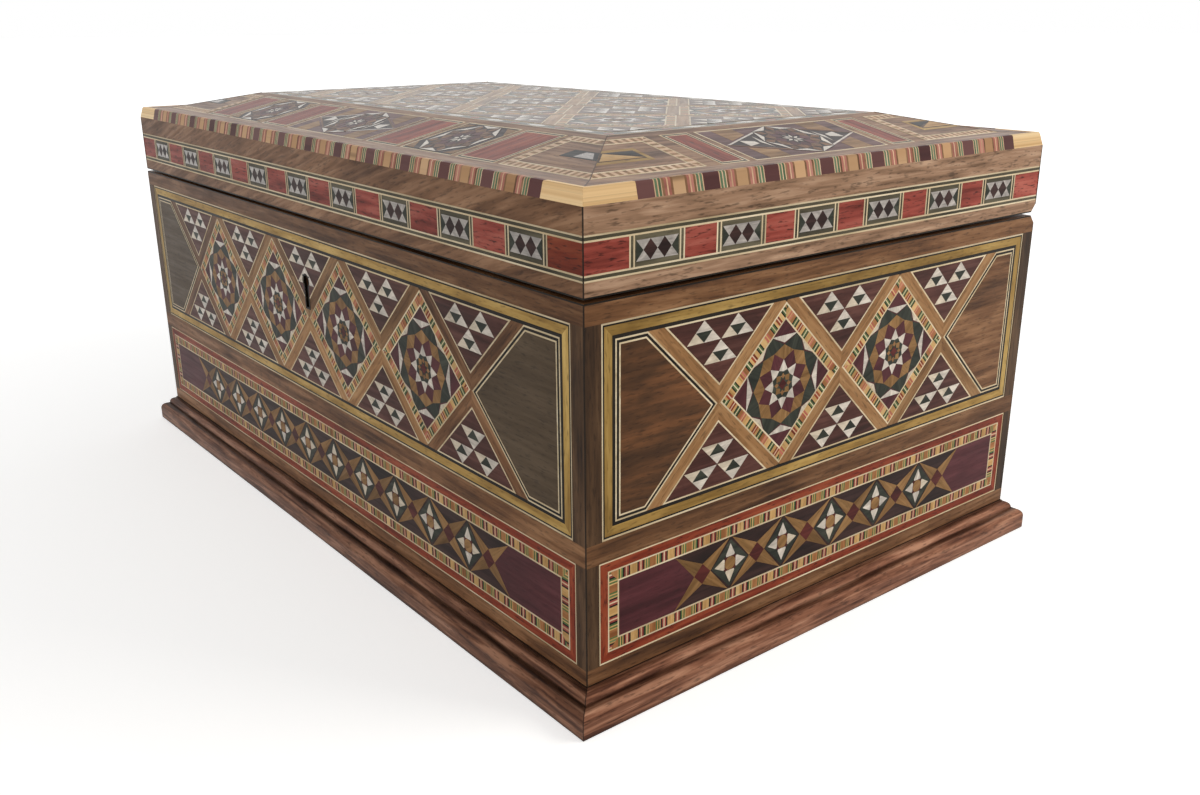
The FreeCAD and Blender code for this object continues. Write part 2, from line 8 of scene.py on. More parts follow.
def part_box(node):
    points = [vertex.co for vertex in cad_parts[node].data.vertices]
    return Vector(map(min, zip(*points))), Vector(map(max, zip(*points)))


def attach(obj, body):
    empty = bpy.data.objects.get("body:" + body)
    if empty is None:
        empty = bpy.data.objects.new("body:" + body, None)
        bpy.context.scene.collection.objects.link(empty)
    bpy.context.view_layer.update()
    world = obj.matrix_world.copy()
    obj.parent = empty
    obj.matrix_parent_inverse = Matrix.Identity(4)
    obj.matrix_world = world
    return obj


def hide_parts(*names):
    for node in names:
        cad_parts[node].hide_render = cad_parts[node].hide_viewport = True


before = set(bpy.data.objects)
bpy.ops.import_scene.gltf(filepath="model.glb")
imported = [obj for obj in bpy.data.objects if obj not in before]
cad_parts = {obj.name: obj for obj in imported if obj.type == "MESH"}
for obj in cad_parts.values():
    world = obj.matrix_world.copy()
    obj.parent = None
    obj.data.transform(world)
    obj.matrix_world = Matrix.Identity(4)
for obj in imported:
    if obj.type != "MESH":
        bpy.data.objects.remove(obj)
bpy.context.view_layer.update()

# Inlaid wooden box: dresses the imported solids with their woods, mosaics, velvet and brass.
# Outlines are in millimetres on the surface they lie on; positions are in metres in the row frame.

rng = random.Random(7)
MM = 0.001
FACES = ("front", "right", "back", "left")
LONG_SIDES = ("front", "back")
SIGNS = (1, -1)
QUARTER_TURN = pi / 2
QUARTERS = range(0, 360, 90)
EIGHTHS = range(0, 360, 45)

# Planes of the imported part, in millimetres
wall_low, wall_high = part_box("front_wall")
edge_low, edge_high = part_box("lid_edge_strips")
HALF_X = wall_high.x / MM
HALF_Y = -wall_low.y / MM
BASE = wall_low.z / MM
RIM = wall_high.z / MM
LID_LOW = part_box("lid_rail_front")[0].z / MM
LID_SIDE_TOP, LEDGE_TOP = edge_low.z / MM, edge_high.z / MM
LID_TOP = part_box("lid_centre_panel")[1].z / MM
LEDGE_NEAR = HALF_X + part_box("lid_slope_veneers")[0].x / MM
PANEL_NEAR = HALF_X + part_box("lid_corner_panels")[0].x / MM
SLOPE_INSET = HALF_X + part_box("lid_centre_border")[0].x / MM
PANEL_MARGIN = 3.2
PANEL_FAR = SLOPE_INSET - PANEL_MARGIN

# Bevels behind the hinge axis, which the open lid comes to rest on
pin_low, pin_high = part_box("hinge_pins")
HINGE_Z = (pin_low.z + pin_high.z) / 2 / MM
HINGE_INSET = HALF_Y - (pin_low.y + pin_high.y) / 2 / MM
BEVEL_TILT = radians(50.5)
BEVEL_DROP = HINGE_INSET * tan(BEVEL_TILT)
CASE_BACK_TOP, LID_BACK_LOW = HINGE_Z - BEVEL_DROP, HINGE_Z + BEVEL_DROP

# Materials


def srgb(red, green, blue):
    def linear(value):
        value /= 255
        return value / 12.92 if value <= 0.04045 else ((value + 0.055) / 1.055) ** 2.4
    return (linear(red), linear(green), linear(blue), 1.0)


def grey(level):
    return (level, level, level, 1.0)


class Graph:
    """Adds nodes to a material or to the world."""

    def __init__(self, owner, shader="Principled BSDF"):
        self.owner = owner
        owner.use_nodes = True
        self.tree = owner.node_tree
        self.shader = self.tree.nodes[shader]

    def link(self, socket, value):
        if isinstance(value, bpy.types.NodeSocket):
            self.tree.links.new(value, socket)
        else:
            socket.default_value = value

    def node(self, kind, inputs=None, **settings):
        made = self.tree.nodes.new("ShaderNode" + kind)
        for key, value in settings.items():
            setattr(made, key, value)
        for key, value in (inputs or {}).items():
            self.link(made.inputs[key], value)
        return made

    def position(self):
        return self.node("TexCoord").outputs["Object"]

    def noise(self, place, scale, detail=4.0, distortion=0.0):
        """Noise with its own scale along each axis, per metre."""
        stretched = self.node("Mapping", {"Vector": place, "Scale": scale}).outputs["Vector"]
        made = self.node("TexNoise", {"Vector": stretched, "Scale": 1.0, "Detail": detail,
                                      "Distortion": distortion})
        return made.outputs["Fac"]

    def math(self, operation, first, second=0.0):
        return self.node("Math", {0: first, 1: second}, operation=operation).outputs[0]

    def weighed(self, *terms):
        """Sum of values, each times its weight."""
        total, *others = [self.math("MULTIPLY", value, weight) for value, weight in terms]
        for other in others:
            total = self.math("ADD", total, other)
        return total

    def remap(self, value, low, high, least, most):
        inputs = {"Value": value, "From Min": low, "From Max": high, "To Min": least, "To Max": most}
        return self.node("MapRange", inputs).outputs[0]

    def spread(self, noise, least, most):
        """Noise spread over a range."""
        return self.remap(noise, 0.3, 0.7, least, most)

    def ramp(self, factor, *stops):
        made = self.node("ValToRGB", {"Fac": factor})
        elements = made.color_ramp.elements
        for i, (position, colour) in enumerate(stops):
            element = elements[i] if i < 2 else elements.new(position)
            element.position = position
            element.color = colour
        return made.outputs["Color"]

    def mix(self, factor, first, second, blend="MIX"):
        made = self.node("Mix", data_type="RGBA", blend_type=blend)
        for index, value in ((0, factor), (6, first), (7, second)):
            self.link(made.inputs[index], value)
        return made.outputs[2]

    def toned(self, colour, least=0.74, most=1.26):
        """Colour lightened or darkened by the piece's own tone."""
        tone = self.node("Attribute", attribute_name="tone").outputs["Fac"]
        value = self.remap(tone, 0.0, 1.0, least, most)
        return self.node("HueSaturation", {"Value": value, "Color": colour}).outputs["Color"]

    def repaint(self, factor, colour, blend="MIX"):
        """Blends one more colour over the material's own."""
        socket = self.shader.inputs["Base Color"]
        self.link(socket, self.mix(factor, socket.links[0].from_socket, colour, blend))

    def bump(self, height, strength, distance):
        made = self.node("Bump", {"Height": height, "Strength": strength, "Distance": distance})
        self.link(self.shader.inputs["Normal"], made.outputs["Normal"])

    def seen_directly(self):
        """Factor that is 1 for what the camera sees, straight or in a reflection."""
        rays = self.node("LightPath").outputs
        either = self.math("MAXIMUM", rays["Is Camera Ray"], rays["Is Glossy Ray"])
        return self.math("MAXIMUM", either, rays["Is Transmission Ray"])

    def finish(self, colour, roughness, **sockets):
        self.link(self.shader.inputs["Base Color"], colour)
        self.link(self.shader.inputs["Roughness"], roughness)
        for key, value in sockets.items():
            self.shader.inputs[key.replace("_", " ")].default_value = value
        return self.owner


def new_graph(name):
    return Graph(bpy.data.materials.new(name))


def copied_graph(name, source):
    made = source.copy()
    made.name = name
    return Graph(made)


PLAIN_BLEND = (0.34, 0.36, 0.3)


def wood(name, dark, middle, light, axis=None, pores=0.5, blend=PLAIN_BLEND, rough=0.42, coat=0.02,
         tilt=0.0):
    """Wood with its grain along each piece's own direction, or along a row axis on a CAD node.

    The blend weighs fine streaks, broad bands and clouds.
    """
    graph = new_graph(name)
    if axis is None:
        place = graph.node("UVMap", uv_map="grain").outputs["UV"]
    else:
        turn = QUARTER_TURN if axis == "y" else 0.0
        inputs = {"Vector": graph.position(), "Rotation": (0, tilt, -turn)}
        place = graph.node("Mapping", inputs).outputs["Vector"]
    streaks = graph.noise(place, (40, 620, 620), 5.0, 0.5)
    bands = graph.noise(place, (18, 150, 150), 4.0, 1.6)
    clouds = graph.noise(place, (26, 60, 60), 4.0, 0.9)
    grain = graph.weighed(*zip((streaks, bands, clouds), blend))
    colour = graph.ramp(grain, (0.38, srgb(*dark)), (0.50, srgb(*middle)), (0.62, srgb(*light)))
    pits = graph.remap(graph.noise(place, (300, 1700, 1700), 2.0), 0.55, 0.70, 0.0, pores)
    colour = graph.mix(pits, colour, srgb(*[value * 0.45 for value in dark]))
    if axis is None:
        colour = graph.toned(colour)
    graph.bump(graph.math("SUBTRACT", graph.math("MULTIPLY", streaks, 0.4), pits), 0.16, 0.0002)
    rough = graph.spread(streaks, rough + 0.06, rough - 0.06)
    return graph.finish(colour, rough, Coat_Weight=coat, Coat_Roughness=0.2, Specular_IOR_Level=0.08)


def shell(name, cool, plain, warm, rough=0.24):
    """Mother of pearl or bone, cloudy with faint growth lines."""
    graph = new_graph(name)
    place = graph.node("UVMap", uv_map="grain").outputs["UV"]
    clouds = graph.noise(place, (130, 260, 1), 4.0, 1.6)
    lines = graph.noise(place, (60, 1900, 1), 3.0, 0.3)
    mixed = graph.weighed((clouds, 0.7), (lines, 0.3))
    colour = graph.ramp(mixed, (0.36, srgb(*cool)), (0.52, srgb(*plain)), (0.66, srgb(*warm)))
    colour = graph.toned(colour, 0.82, 1.14)
    graph.bump(lines, 0.05, 0.0001)
    rough = graph.spread(clouds, rough - 0.06, rough + 0.08)
    return graph.finish(colour, rough, Coat_Weight=0.1, Coat_Roughness=0.14, Specular_IOR_Level=0.3)


def velvet(name, deep, bright):
    graph = new_graph(name)
    nap = graph.noise(graph.position(), (60, 90, 70), 5.0, 0.5)
    pile = graph.noise(graph.position(), (2600, 2600, 2600), 2.0)
    worn = graph.weighed((nap, 0.7), (pile, 0.3))
    colour = graph.ramp(worn, (0.34, srgb(*deep)), (0.66, srgb(*bright)))
    graph.bump(pile, 0.5, 0.0004)
    return graph.finish(colour, graph.spread(nap, 0.92, 0.8), Sheen_Weight=0.25, Sheen_Roughness=0.4,
                        Sheen_Tint=srgb(196, 96, 104), Specular_IOR_Level=0.1)


def metal(name, dull, brighter, rough):
    graph = new_graph(name)
    patches = graph.noise(graph.position(), (160, 160, 160), 5.0, 0.8)
    brushed = graph.noise(graph.position(), (90, 5200, 5200), 2.0)
    colour = graph.ramp(patches, (0.36, srgb(*dull)), (0.62, srgb(*brighter)))
    graph.bump(brushed, 0.12, 0.0001)
    return graph.finish(colour, graph.spread(patches, rough + 0.14, rough - 0.06), Metallic=1.0)


# Inlay woods: dark, middle and light colour of the grain, and how much the pores show
PALETTE = {
    "walnut": ((64, 40, 24), (109, 74, 47), (146, 107, 74), 0.5),
    "walnut_lid": ((84, 58, 40), (128, 94, 68), (162, 127, 97), 0.5),
    "walnut_deep": ((43, 29, 19), (72, 51, 33), (99, 73, 50), 0.5),
    "walnut_bar": ((104, 72, 43), (146, 106, 67), (174, 135, 92), 0.5),
    "burr": ((46, 31, 20), (80, 53, 33), (120, 78, 48), 0.5),
    "smoky": ((71, 57, 42), (81, 66, 49), (92, 76, 58), 0.5),
    "lemonwood": ((116, 87, 40), (157, 125, 66), (186, 154, 90), 0.45),
    "citron": ((130, 98, 48), (175, 141, 78), (206, 173, 106), 0.45),
    "blond": ((192, 152, 102), (226, 191, 142), (242, 216, 172), 0.35),
    "straw": ((160, 118, 68), (192, 153, 98), (212, 178, 126), 0.35),
    "padauk": ((90, 31, 17), (131, 52, 30), (158, 78, 48), 0.85),
    "redwood": ((101, 39, 31), (147, 66, 55), (171, 94, 80), 0.85),
    "crimson": ((56, 18, 16), (82, 30, 26), (104, 44, 38), 0.3),
    "purple": ((57, 25, 28), (74, 34, 38), (89, 44, 48), 0.3),
    "plum": ((50, 27, 22), (74, 42, 36), (96, 60, 52), 0.3),
    "dusk": ((26, 15, 13), (42, 25, 22), (60, 38, 34), 0.3),
    "tan": ((104, 74, 40), (135, 100, 60), (160, 123, 79), 0.35),
    "brown": ((126, 78, 42), (156, 104, 62), (178, 128, 82), 0.3),
    "green": ((50, 72, 38), (84, 104, 58), (114, 130, 82), 0.25),
    "rose": ((140, 62, 50), (172, 96, 80), (196, 124, 104), 0.25),
    "blush": ((176, 138, 108), (202, 168, 136), (218, 190, 162), 0.2),
    "mauve": ((62, 36, 36), (90, 58, 56), (112, 78, 74), 0.3),
    "dust": ((150, 112, 78), (182, 144, 106), (204, 170, 134), 0.6),
    "clay": ((138, 82, 70), (166, 108, 94), (188, 134, 118), 0.25),
    "sage": ((64, 86, 62), (92, 112, 84), (116, 134, 106), 0.25),
    "olive": ((50, 46, 35), (76, 70, 54), (100, 93, 74), 0.35),
    "ebony": ((30, 33, 27), (44, 47, 39), (62, 64, 54), 0.35),
    "black": ((16, 12, 8), (27, 22, 16), (40, 33, 25), 0.3),
    "cream": ((184, 163, 127), (212, 193, 159), (228, 212, 182), 0.15),
}
BLENDS = {"burr": (0.12, 0.38, 0.5), "smoky": (0.45, 0.25, 0.3), "lemonwood": (0.2, 0.3, 0.5),
          "citron": (0.2, 0.3, 0.5)}
WOODS = {name: wood(name, *colours, pores=pores, blend=BLENDS.get(name, PLAIN_BLEND))
         for name, (*colours, pores) in PALETTE.items()}
WOODS["pearl"] = shell("pearl", (170, 161, 150), (200, 189, 175), (220, 210, 196))
WOODS["grey_pearl"] = shell("grey_pearl", (128, 121, 115), (158, 150, 143), (184, 175, 166))
WOODS["bone"] = shell("bone", (176, 162, 140), (202, 187, 164), (220, 206, 184), rough=0.3)
WOOD_NAMES = list(WOODS)

# Flat outlines


def rect(left, right, low, high):
    return [(left, low), (right, low), (right, high), (left, high)]


def diamond(u, w, half_width, half_height):
    return [(u - half_width, w), (u, w - half_height), (u + half_width, w), (u, w + half_height)]


def polar(angle, radius):
    return (radius * cos(radians(angle)), radius * sin(radians(angle)))


def disc(u, w, radius, count):
    return moved([polar(i * 360 / count, radius) for i in range(count)], u, w)


def mirrored(points, sign, up=1):
    return [(sign * u, up * w) for u, w in points]


def moved(points, du, dw):
    return [(u + du, w + dw) for u, w in points]


def spaced(count, pitch):
    """Places at a pitch, centred on zero."""
    return [(i - (count - 1) / 2) * pitch for i in range(count)]


def arrow(tip, shoulder, end, low, high):
    """Panel with a point at half its height and a square end."""
    return [(tip, (low + high) / 2), (shoulder, low), (end, low), (end, high), (shoulder, high)]


def corner_pairs(points):
    """Each corner of an outline with the next."""
    return zip(points, points[1:] + points[:1])


def area(points):
    return sum(a[0] * b[1] - b[0] * a[1] for a, b in corner_pairs(points)) / 2


def counter_clockwise(points):
    return points if area(points) > 0 else points[::-1]


def angle_of(strip):
    """Direction of a strip's first side."""
    (ax, ay), (bx, by) = strip[:2]
    return atan2(by - ay, bx - ax)


def heading(start, end):
    """Length of a line and its direction."""
    run, rise = end[0] - start[0], end[1] - start[1]
    length = hypot(run, rise)
    return length, (run / length, rise / length)


def stepped(start, along, forward, left=0.0):
    """Point some way along a direction and to the left of it."""
    return (start[0] + along[0] * forward - along[1] * left, start[1] + along[1] * forward + along[0] * left)


def keep_left(points, a, b):
    """Part of a convex outline to the left of the line from a to b."""
    def side(p):
        return (b[0] - a[0]) * (p[1] - a[1]) - (b[1] - a[1]) * (p[0] - a[0])
    kept = []
    for p, q in corner_pairs(points):
        here, there = side(p), side(q)
        if here >= 0:
            kept.append(p)
        if (here > 0 > there) or (here < 0 < there):
            share = here / (here - there)
            kept.append((p[0] + (q[0] - p[0]) * share, p[1] + (q[1] - p[1]) * share))
    return kept if len(kept) > 2 and abs(area(kept)) > 1e-4 else []


def within(points, field):
    """Part of a convex outline inside a convex field that runs counter-clockwise."""
    for a, b in corner_pairs(field):
        points = keep_left(points, a, b)
    return points


def without(points, hole):
    """Convex parts of an outline outside a convex hole that runs counter-clockwise."""
    parts = []
    rest = points
    for a, b in corner_pairs(hole):
        outside = keep_left(rest, b, a)
        if outside:
            parts.append(outside)
        rest = keep_left(rest, a, b)
    return parts if rest else [points]


def inset(points, distances):
    """Convex counter-clockwise outline drawn in by one distance, or by one for each side."""
    if isinstance(distances, (int, float)):
        distances = [distances] * len(points)
    lines = []
    for ((ax, ay), (bx, by)), distance in zip(corner_pairs(points), distances):
        length = hypot(bx - ax, by - ay)
        nx, ny = (ay - by) / length, (bx - ax) / length
        lines.append((nx, ny, nx * ax + ny * ay + distance))
    drawn = []
    for (a, b, c), (d, e, f) in zip(lines[-1:] + lines[:-1], lines):
        det = a * e - b * d
        drawn.append(((c * e - b * f) / det, (a * f - c * d) / det))
    return drawn


def ring(points, near, far, chosen=None):
    """Mitred strips between two insets of an outline or of its chosen sides, outer side first."""
    count = len(points)
    chosen = chosen or range(count)
    outer, inner = [inset(points, [distance if i in chosen else 0.0 for i in range(count)])
                    for distance in (near, far)]
    return [[outer[i], outer[(i + 1) % count], inner[(i + 1) % count], inner[i]] for i in chosen]


def slices(strip, sequence, phase=0.0):
    """Cuts a strip across its length into short pieces of the given woods and widths."""
    start = strip[0]
    length, along = heading(start, strip[1])
    place = -phase
    pieces = []
    while place < length:
        for name, width in sequence:
            if place + width > 0 and place < length:
                cuts = (place, place + width)
                near, far = [[stepped(start, along, cut, left) for left in (0, 1)] for cut in cuts]
                piece = keep_left(keep_left(strip, *near[::-1]), *far)
                if piece:
                    pieces.append((piece, name))
            place += width
    return pieces


# Surfaces that inlay lies on


def turned(face, x, y, z):
    """Point of the front, in millimetres, moved round to a face, in metres."""
    for _ in range(FACES.index(face)):
        x, y = -y, x
    return Vector((x, y, z)) * MM


class Upright:
    """Side of the box: u to the right as seen from outside, w the height.

    Half is half its length, and reach is its distance from the middle of the box.
    """

    def __init__(self, face, holes):
        self.face, self.holes, self.long = face, holes, face in LONG_SIDES
        self.half, self.reach = (HALF_X, HALF_Y) if self.long else (HALF_Y, HALF_X)

    def at(self, u, w, out):
        u = max(-self.half - out, min(self.half + out, u))
        return turned(self.face, u, -self.reach - out, w)


class Slope:
    """Slope of the lid: u to the right as seen from outside, w the level distance in from the edge."""

    holes = ()
    rate = (LID_TOP - LEDGE_TOP) / (SLOPE_INSET - PANEL_NEAR)

    def __init__(self, side):
        self.side = side

    def at(self, u, w, out):
        length = hypot(1.0, self.rate)
        y = -self.side.reach + w - out * self.rate / length
        return turned(self.side.face, u, y, LEDGE_TOP + (w - PANEL_NEAR) * self.rate + out / length)


class Ledge(Slope):
    """Level margin of the lid between its edge strip and its slope."""

    rate = 0.0


class Top:
    """Flat middle of the lid, in plan."""

    holes = ()

    def at(self, u, w, out):
        return Vector((u, w, LID_TOP + out)) * MM


def clear_of_bevel(side, end, back):
    """Side of the case or lid from its far end to the hinge axis, cut off by the bevel at the back."""
    half = side.half
    points = [(-half, end), (half, end), (half, back), (half - HINGE_INSET, HINGE_Z), (-half, HINGE_Z)]
    if side.long:
        points = rect(-half, half, end, HINGE_Z if side.face == "front" else back)
    if side.face == "left":
        points = mirrored(points, -1)
    return counter_clockwise(points)


# Inlay pieces, collected into one mesh
THIN, DEEP = 0.12, 0.9
LOWEST, LEVEL_STEP = -0.16, 0.02
# Random draws: range of tones, drift of a tone and of the grain (metres), start of a mosaic (millimetres)
PLAIN_TONES, TONE_DRIFT, GRAIN_DRIFT, MOSAIC_START = (0.3, 0.7), 0.06, 3, 12
# Pale wash of painted glare, for lacquer seen at a grazing angle
PAINTED_GLARE = srgb(146, 139, 124)


def lacquered(name, coat, glare_wash):
    """The wood itself, or a copy of it under a coat of lacquer, with painted glare where asked: a pale wash
    that stands in for light reflected at a grazing angle.
    """
    if not coat:
        return WOODS[name]
    title = name + ("_glare_washed" if glare_wash else "_lacquered")
    if title not in bpy.data.materials:
        graph = copied_graph(title, WOODS[name])
        graph.shader.inputs["Coat Weight"].default_value = coat
        if glare_wash:
            graph.repaint(glare_wash, PAINTED_GLARE)
    return bpy.data.materials[title]


def add_object(name, data):
    made = bpy.data.objects.new(name, data)
    bpy.context.scene.collection.objects.link(made)
    return made


def add_piece(name, mesh, body, replaced):
    """Object that rides on a body in place of the CAD nodes it stands for."""
    made = add_object(name, mesh)
    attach(made, body)
    if replaced:
        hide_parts(*replaced)
    return made


class Inlay:
    """Thin flush pieces of several woods that make one object."""

    every = []

    def __init__(self, name, body, replaced, slot, lacquer=0.0, glare_wash=0.0):
        self.name, self.body, self.replaced, self.slot = name, body, replaced, slot
        self.lacquer, self.glare_wash = lacquer, glare_wash
        self.every.append(self)
        self.points, self.faces, self.uvs, self.woods, self.tones = [], [], [], [], []

    def solid(self, top, bottom, uvs, name, tone=None):
        """Closed piece between two outlines of row-frame points."""
        count = len(top)
        first = len(self.points)
        tone = rng.uniform(*PLAIN_TONES) if tone is None else tone + rng.uniform(-TONE_DRIFT, TONE_DRIFT)
        drift = [rng.uniform(-GRAIN_DRIFT, GRAIN_DRIFT) for _ in range(2)]
        uvs = [(u * MM + drift[0], v * MM + drift[1]) for u, v in uvs]
        self.points += list(top) + list(bottom)
        rings = [[first + i for i in range(count)], [first + count + i for i in reversed(range(count))]]
        rings += [[first + i, first + count + i, first + count + (i + 1) % count, first + (i + 1) % count]
                  for i in range(count)]
        for corners in rings:
            self.faces.append(corners)
            self.uvs += [uvs[(c - first) % count] for c in corners]
            self.woods.append(WOOD_NAMES.index(name))
            self.tones.append(tone)

    def lay(self, surface, points, name, level, grain=0.0, tone=None, field=None, depth=THIN):
        """Lays a convex outline on a surface; a higher level lies a hair further out."""
        points = counter_clockwise(points)
        if field:
            points = within(points, field)
        parts = [points] if points else []
        for hole in surface.holes:
            parts = [rest for part in parts for rest in without(part, hole)]
        tone = rng.uniform(*PLAIN_TONES) if tone is None else tone
        out = LOWEST + LEVEL_STEP * level
        cosine, sine = cos(grain), sin(grain)
        for part in parts:
            top = [surface.at(u, w, out) for u, w in part]
            bottom = [surface.at(u, w, out - depth) for u, w in part]
            uvs = [(u * cosine + w * sine, w * cosine - u * sine) for u, w in part]
            self.solid(top, bottom, uvs, name, tone)

    def pair(self, surface, points, *look, **more):
        """Lays an outline and its mirror image."""
        for sign in SIGNS:
            self.lay(surface, mirrored(points, sign), *look, **more)

    def rings(self, surface, points, bands, level, field=None):
        """Strips of (wood, from, to) round an outline, with their grain along them."""
        for name, near, far in bands:
            for strip in ring(points, near, far):
                self.lay(surface, strip, name, level, angle_of(strip), field=field)

    def mosaic(self, surface, points, near, far, sequence, level, field=None):
        """Strips of sawn mosaic round an outline."""
        for strip in ring(points, near, far):
            for piece, name in slices(strip, sequence, rng.uniform(0, MOSAIC_START)):
                self.lay(surface, piece, name, level, angle_of(strip) + QUARTER_TURN, field=field)

    def make(self):
        mesh = bpy.data.meshes.new(self.name)
        mesh.from_pydata(self.points, [], self.faces)
        used = sorted(set(self.woods))
        for index in used:
            mesh.materials.append(lacquered(WOOD_NAMES[index], self.lacquer, self.glare_wash))
        mesh.polygons.foreach_set("material_index", [used.index(index) for index in self.woods])
        layer = mesh.uv_layers.new(name="grain")
        layer.data.foreach_set("uv", [value for uv in self.uvs for value in uv])
        tones = mesh.attributes.new("tone", "FLOAT", "FACE")
        tones.data.foreach_set("value", self.tones)
        mesh.update()
        add_piece(self.name, mesh, self.body, self.replaced)


# Sequences of the sawn mosaics, as woods and widths
GREEN_GROUP = [("black", 0.4), ("green", 0.45), ("cream", 0.3), ("green", 0.45), ("black", 0.4)]
ROSE_GROUP = [("rose", 0.6), ("straw", 0.35), ("rose", 0.6)]
RED_GROUP = [("padauk", 0.6), ("blush", 0.35), ("padauk", 0.6)]
STAR_STRIP = ([("straw", 1.9)] + GREEN_GROUP + [("straw", 1.2)] + RED_GROUP + [("straw", 0.8)] + GREEN_GROUP
              + [("brown", 1.3)] + ROSE_GROUP)
STRIPED = [("green", 0.5), ("straw", 0.35)] * 2
BARRED = [("black", 0.5), ("redwood", 0.5), ("blush", 0.45), ("redwood", 0.5), ("black", 0.5)]
FRIEZE_STRIP = [("straw", 2.4)] + BARRED + STRIPED + [("brown", 2.1)] + STRIPED + BARRED
LADDER = [("tan", 1.3), ("blush", 1.3)]
EDGE_PURPLE = 5.0
GREEN_CORD = [("blush", 0.3), ("sage", 0.7), ("blush", 0.35), ("sage", 0.7), ("blush", 0.3)]
PINK_CORD = [("walnut_lid", 0.65), ("clay", 0.8), ("blush", 0.4), ("clay", 0.8), ("walnut_lid", 0.65)]
EDGE_STRIPES = [("mauve", EDGE_PURPLE)] + GREEN_CORD + PINK_CORD + [("dust", 3.6)] + PINK_CORD + GREEN_CORD

# Eight-fold ornament, drawn as (degrees from a spoke, radius)
BETWEEN = 22.5
ROSETTE_SIDE = 13.2


def kite(near, spread, wide, far):
    return [(0, near), (-spread, wide), (0, far), (spread, wide)]


def spun(corners, turn, scale, centre):
    return moved([polar(turn + angle, radius * scale) for angle, radius in corners], *centre)


def rosette(inlay, surface, centre, side, level, field):
    """Star of a tile; its radii are for a tile whose sides are ROSETTE_SIDE from the middle."""
    def put(spoke, corners, name, tone=0.5, step=0):
        points = spun(corners, spoke, side / ROSETTE_SIDE, centre)
        inlay.lay(surface, points, name, level + step, radians(spoke), tone, field)

    put(BETWEEN, [(turn, 4.4) for turn in EIGHTHS], "ebony")
    for spoke in EIGHTHS:
        point = [(-BETWEEN, 4.4), (0, 3.7), (BETWEEN, 4.4), (0, 7.1)]
        put(spoke, point, "pearl", rng.uniform(0.35, 0.75), 1)
        put(spoke + BETWEEN, kite(4.4, BETWEEN, 7.1, 10.0), "purple", 0.6)
        put(spoke, kite(7.1, BETWEEN, 10.0, 11.4), "tan", rng.uniform(0.3, 0.6))
        arm = [(0, 10.0), (-BETWEEN, 11.4), (-1.5, 15.0), (1.5, 15.0), (BETWEEN, 11.4)]
        put(spoke + BETWEEN, arm, "ebony")
        shade = "pearl" if spoke in QUARTERS else "bone"
        put(spoke, [(-20, 14.9), (20, 14.9), (0, 11.9)], shade, rng.uniform(0.3, 0.6), 1)
    for spoke in QUARTERS:
        put(spoke + 45, kite(1.5, 27, 2.6, 3.7), "tan", rng.uniform(0.3, 0.6), 1)
        put(spoke, kite(1.6, 18, 2.4, 3.3), "walnut_bar", rng.uniform(0.2, 0.5), 1)
    put(0, [(turn, 1.6) for turn in QUARTERS], "crimson", step=2)


BAR_TONES = (0.05, 0.42, 0.52, 0.65)


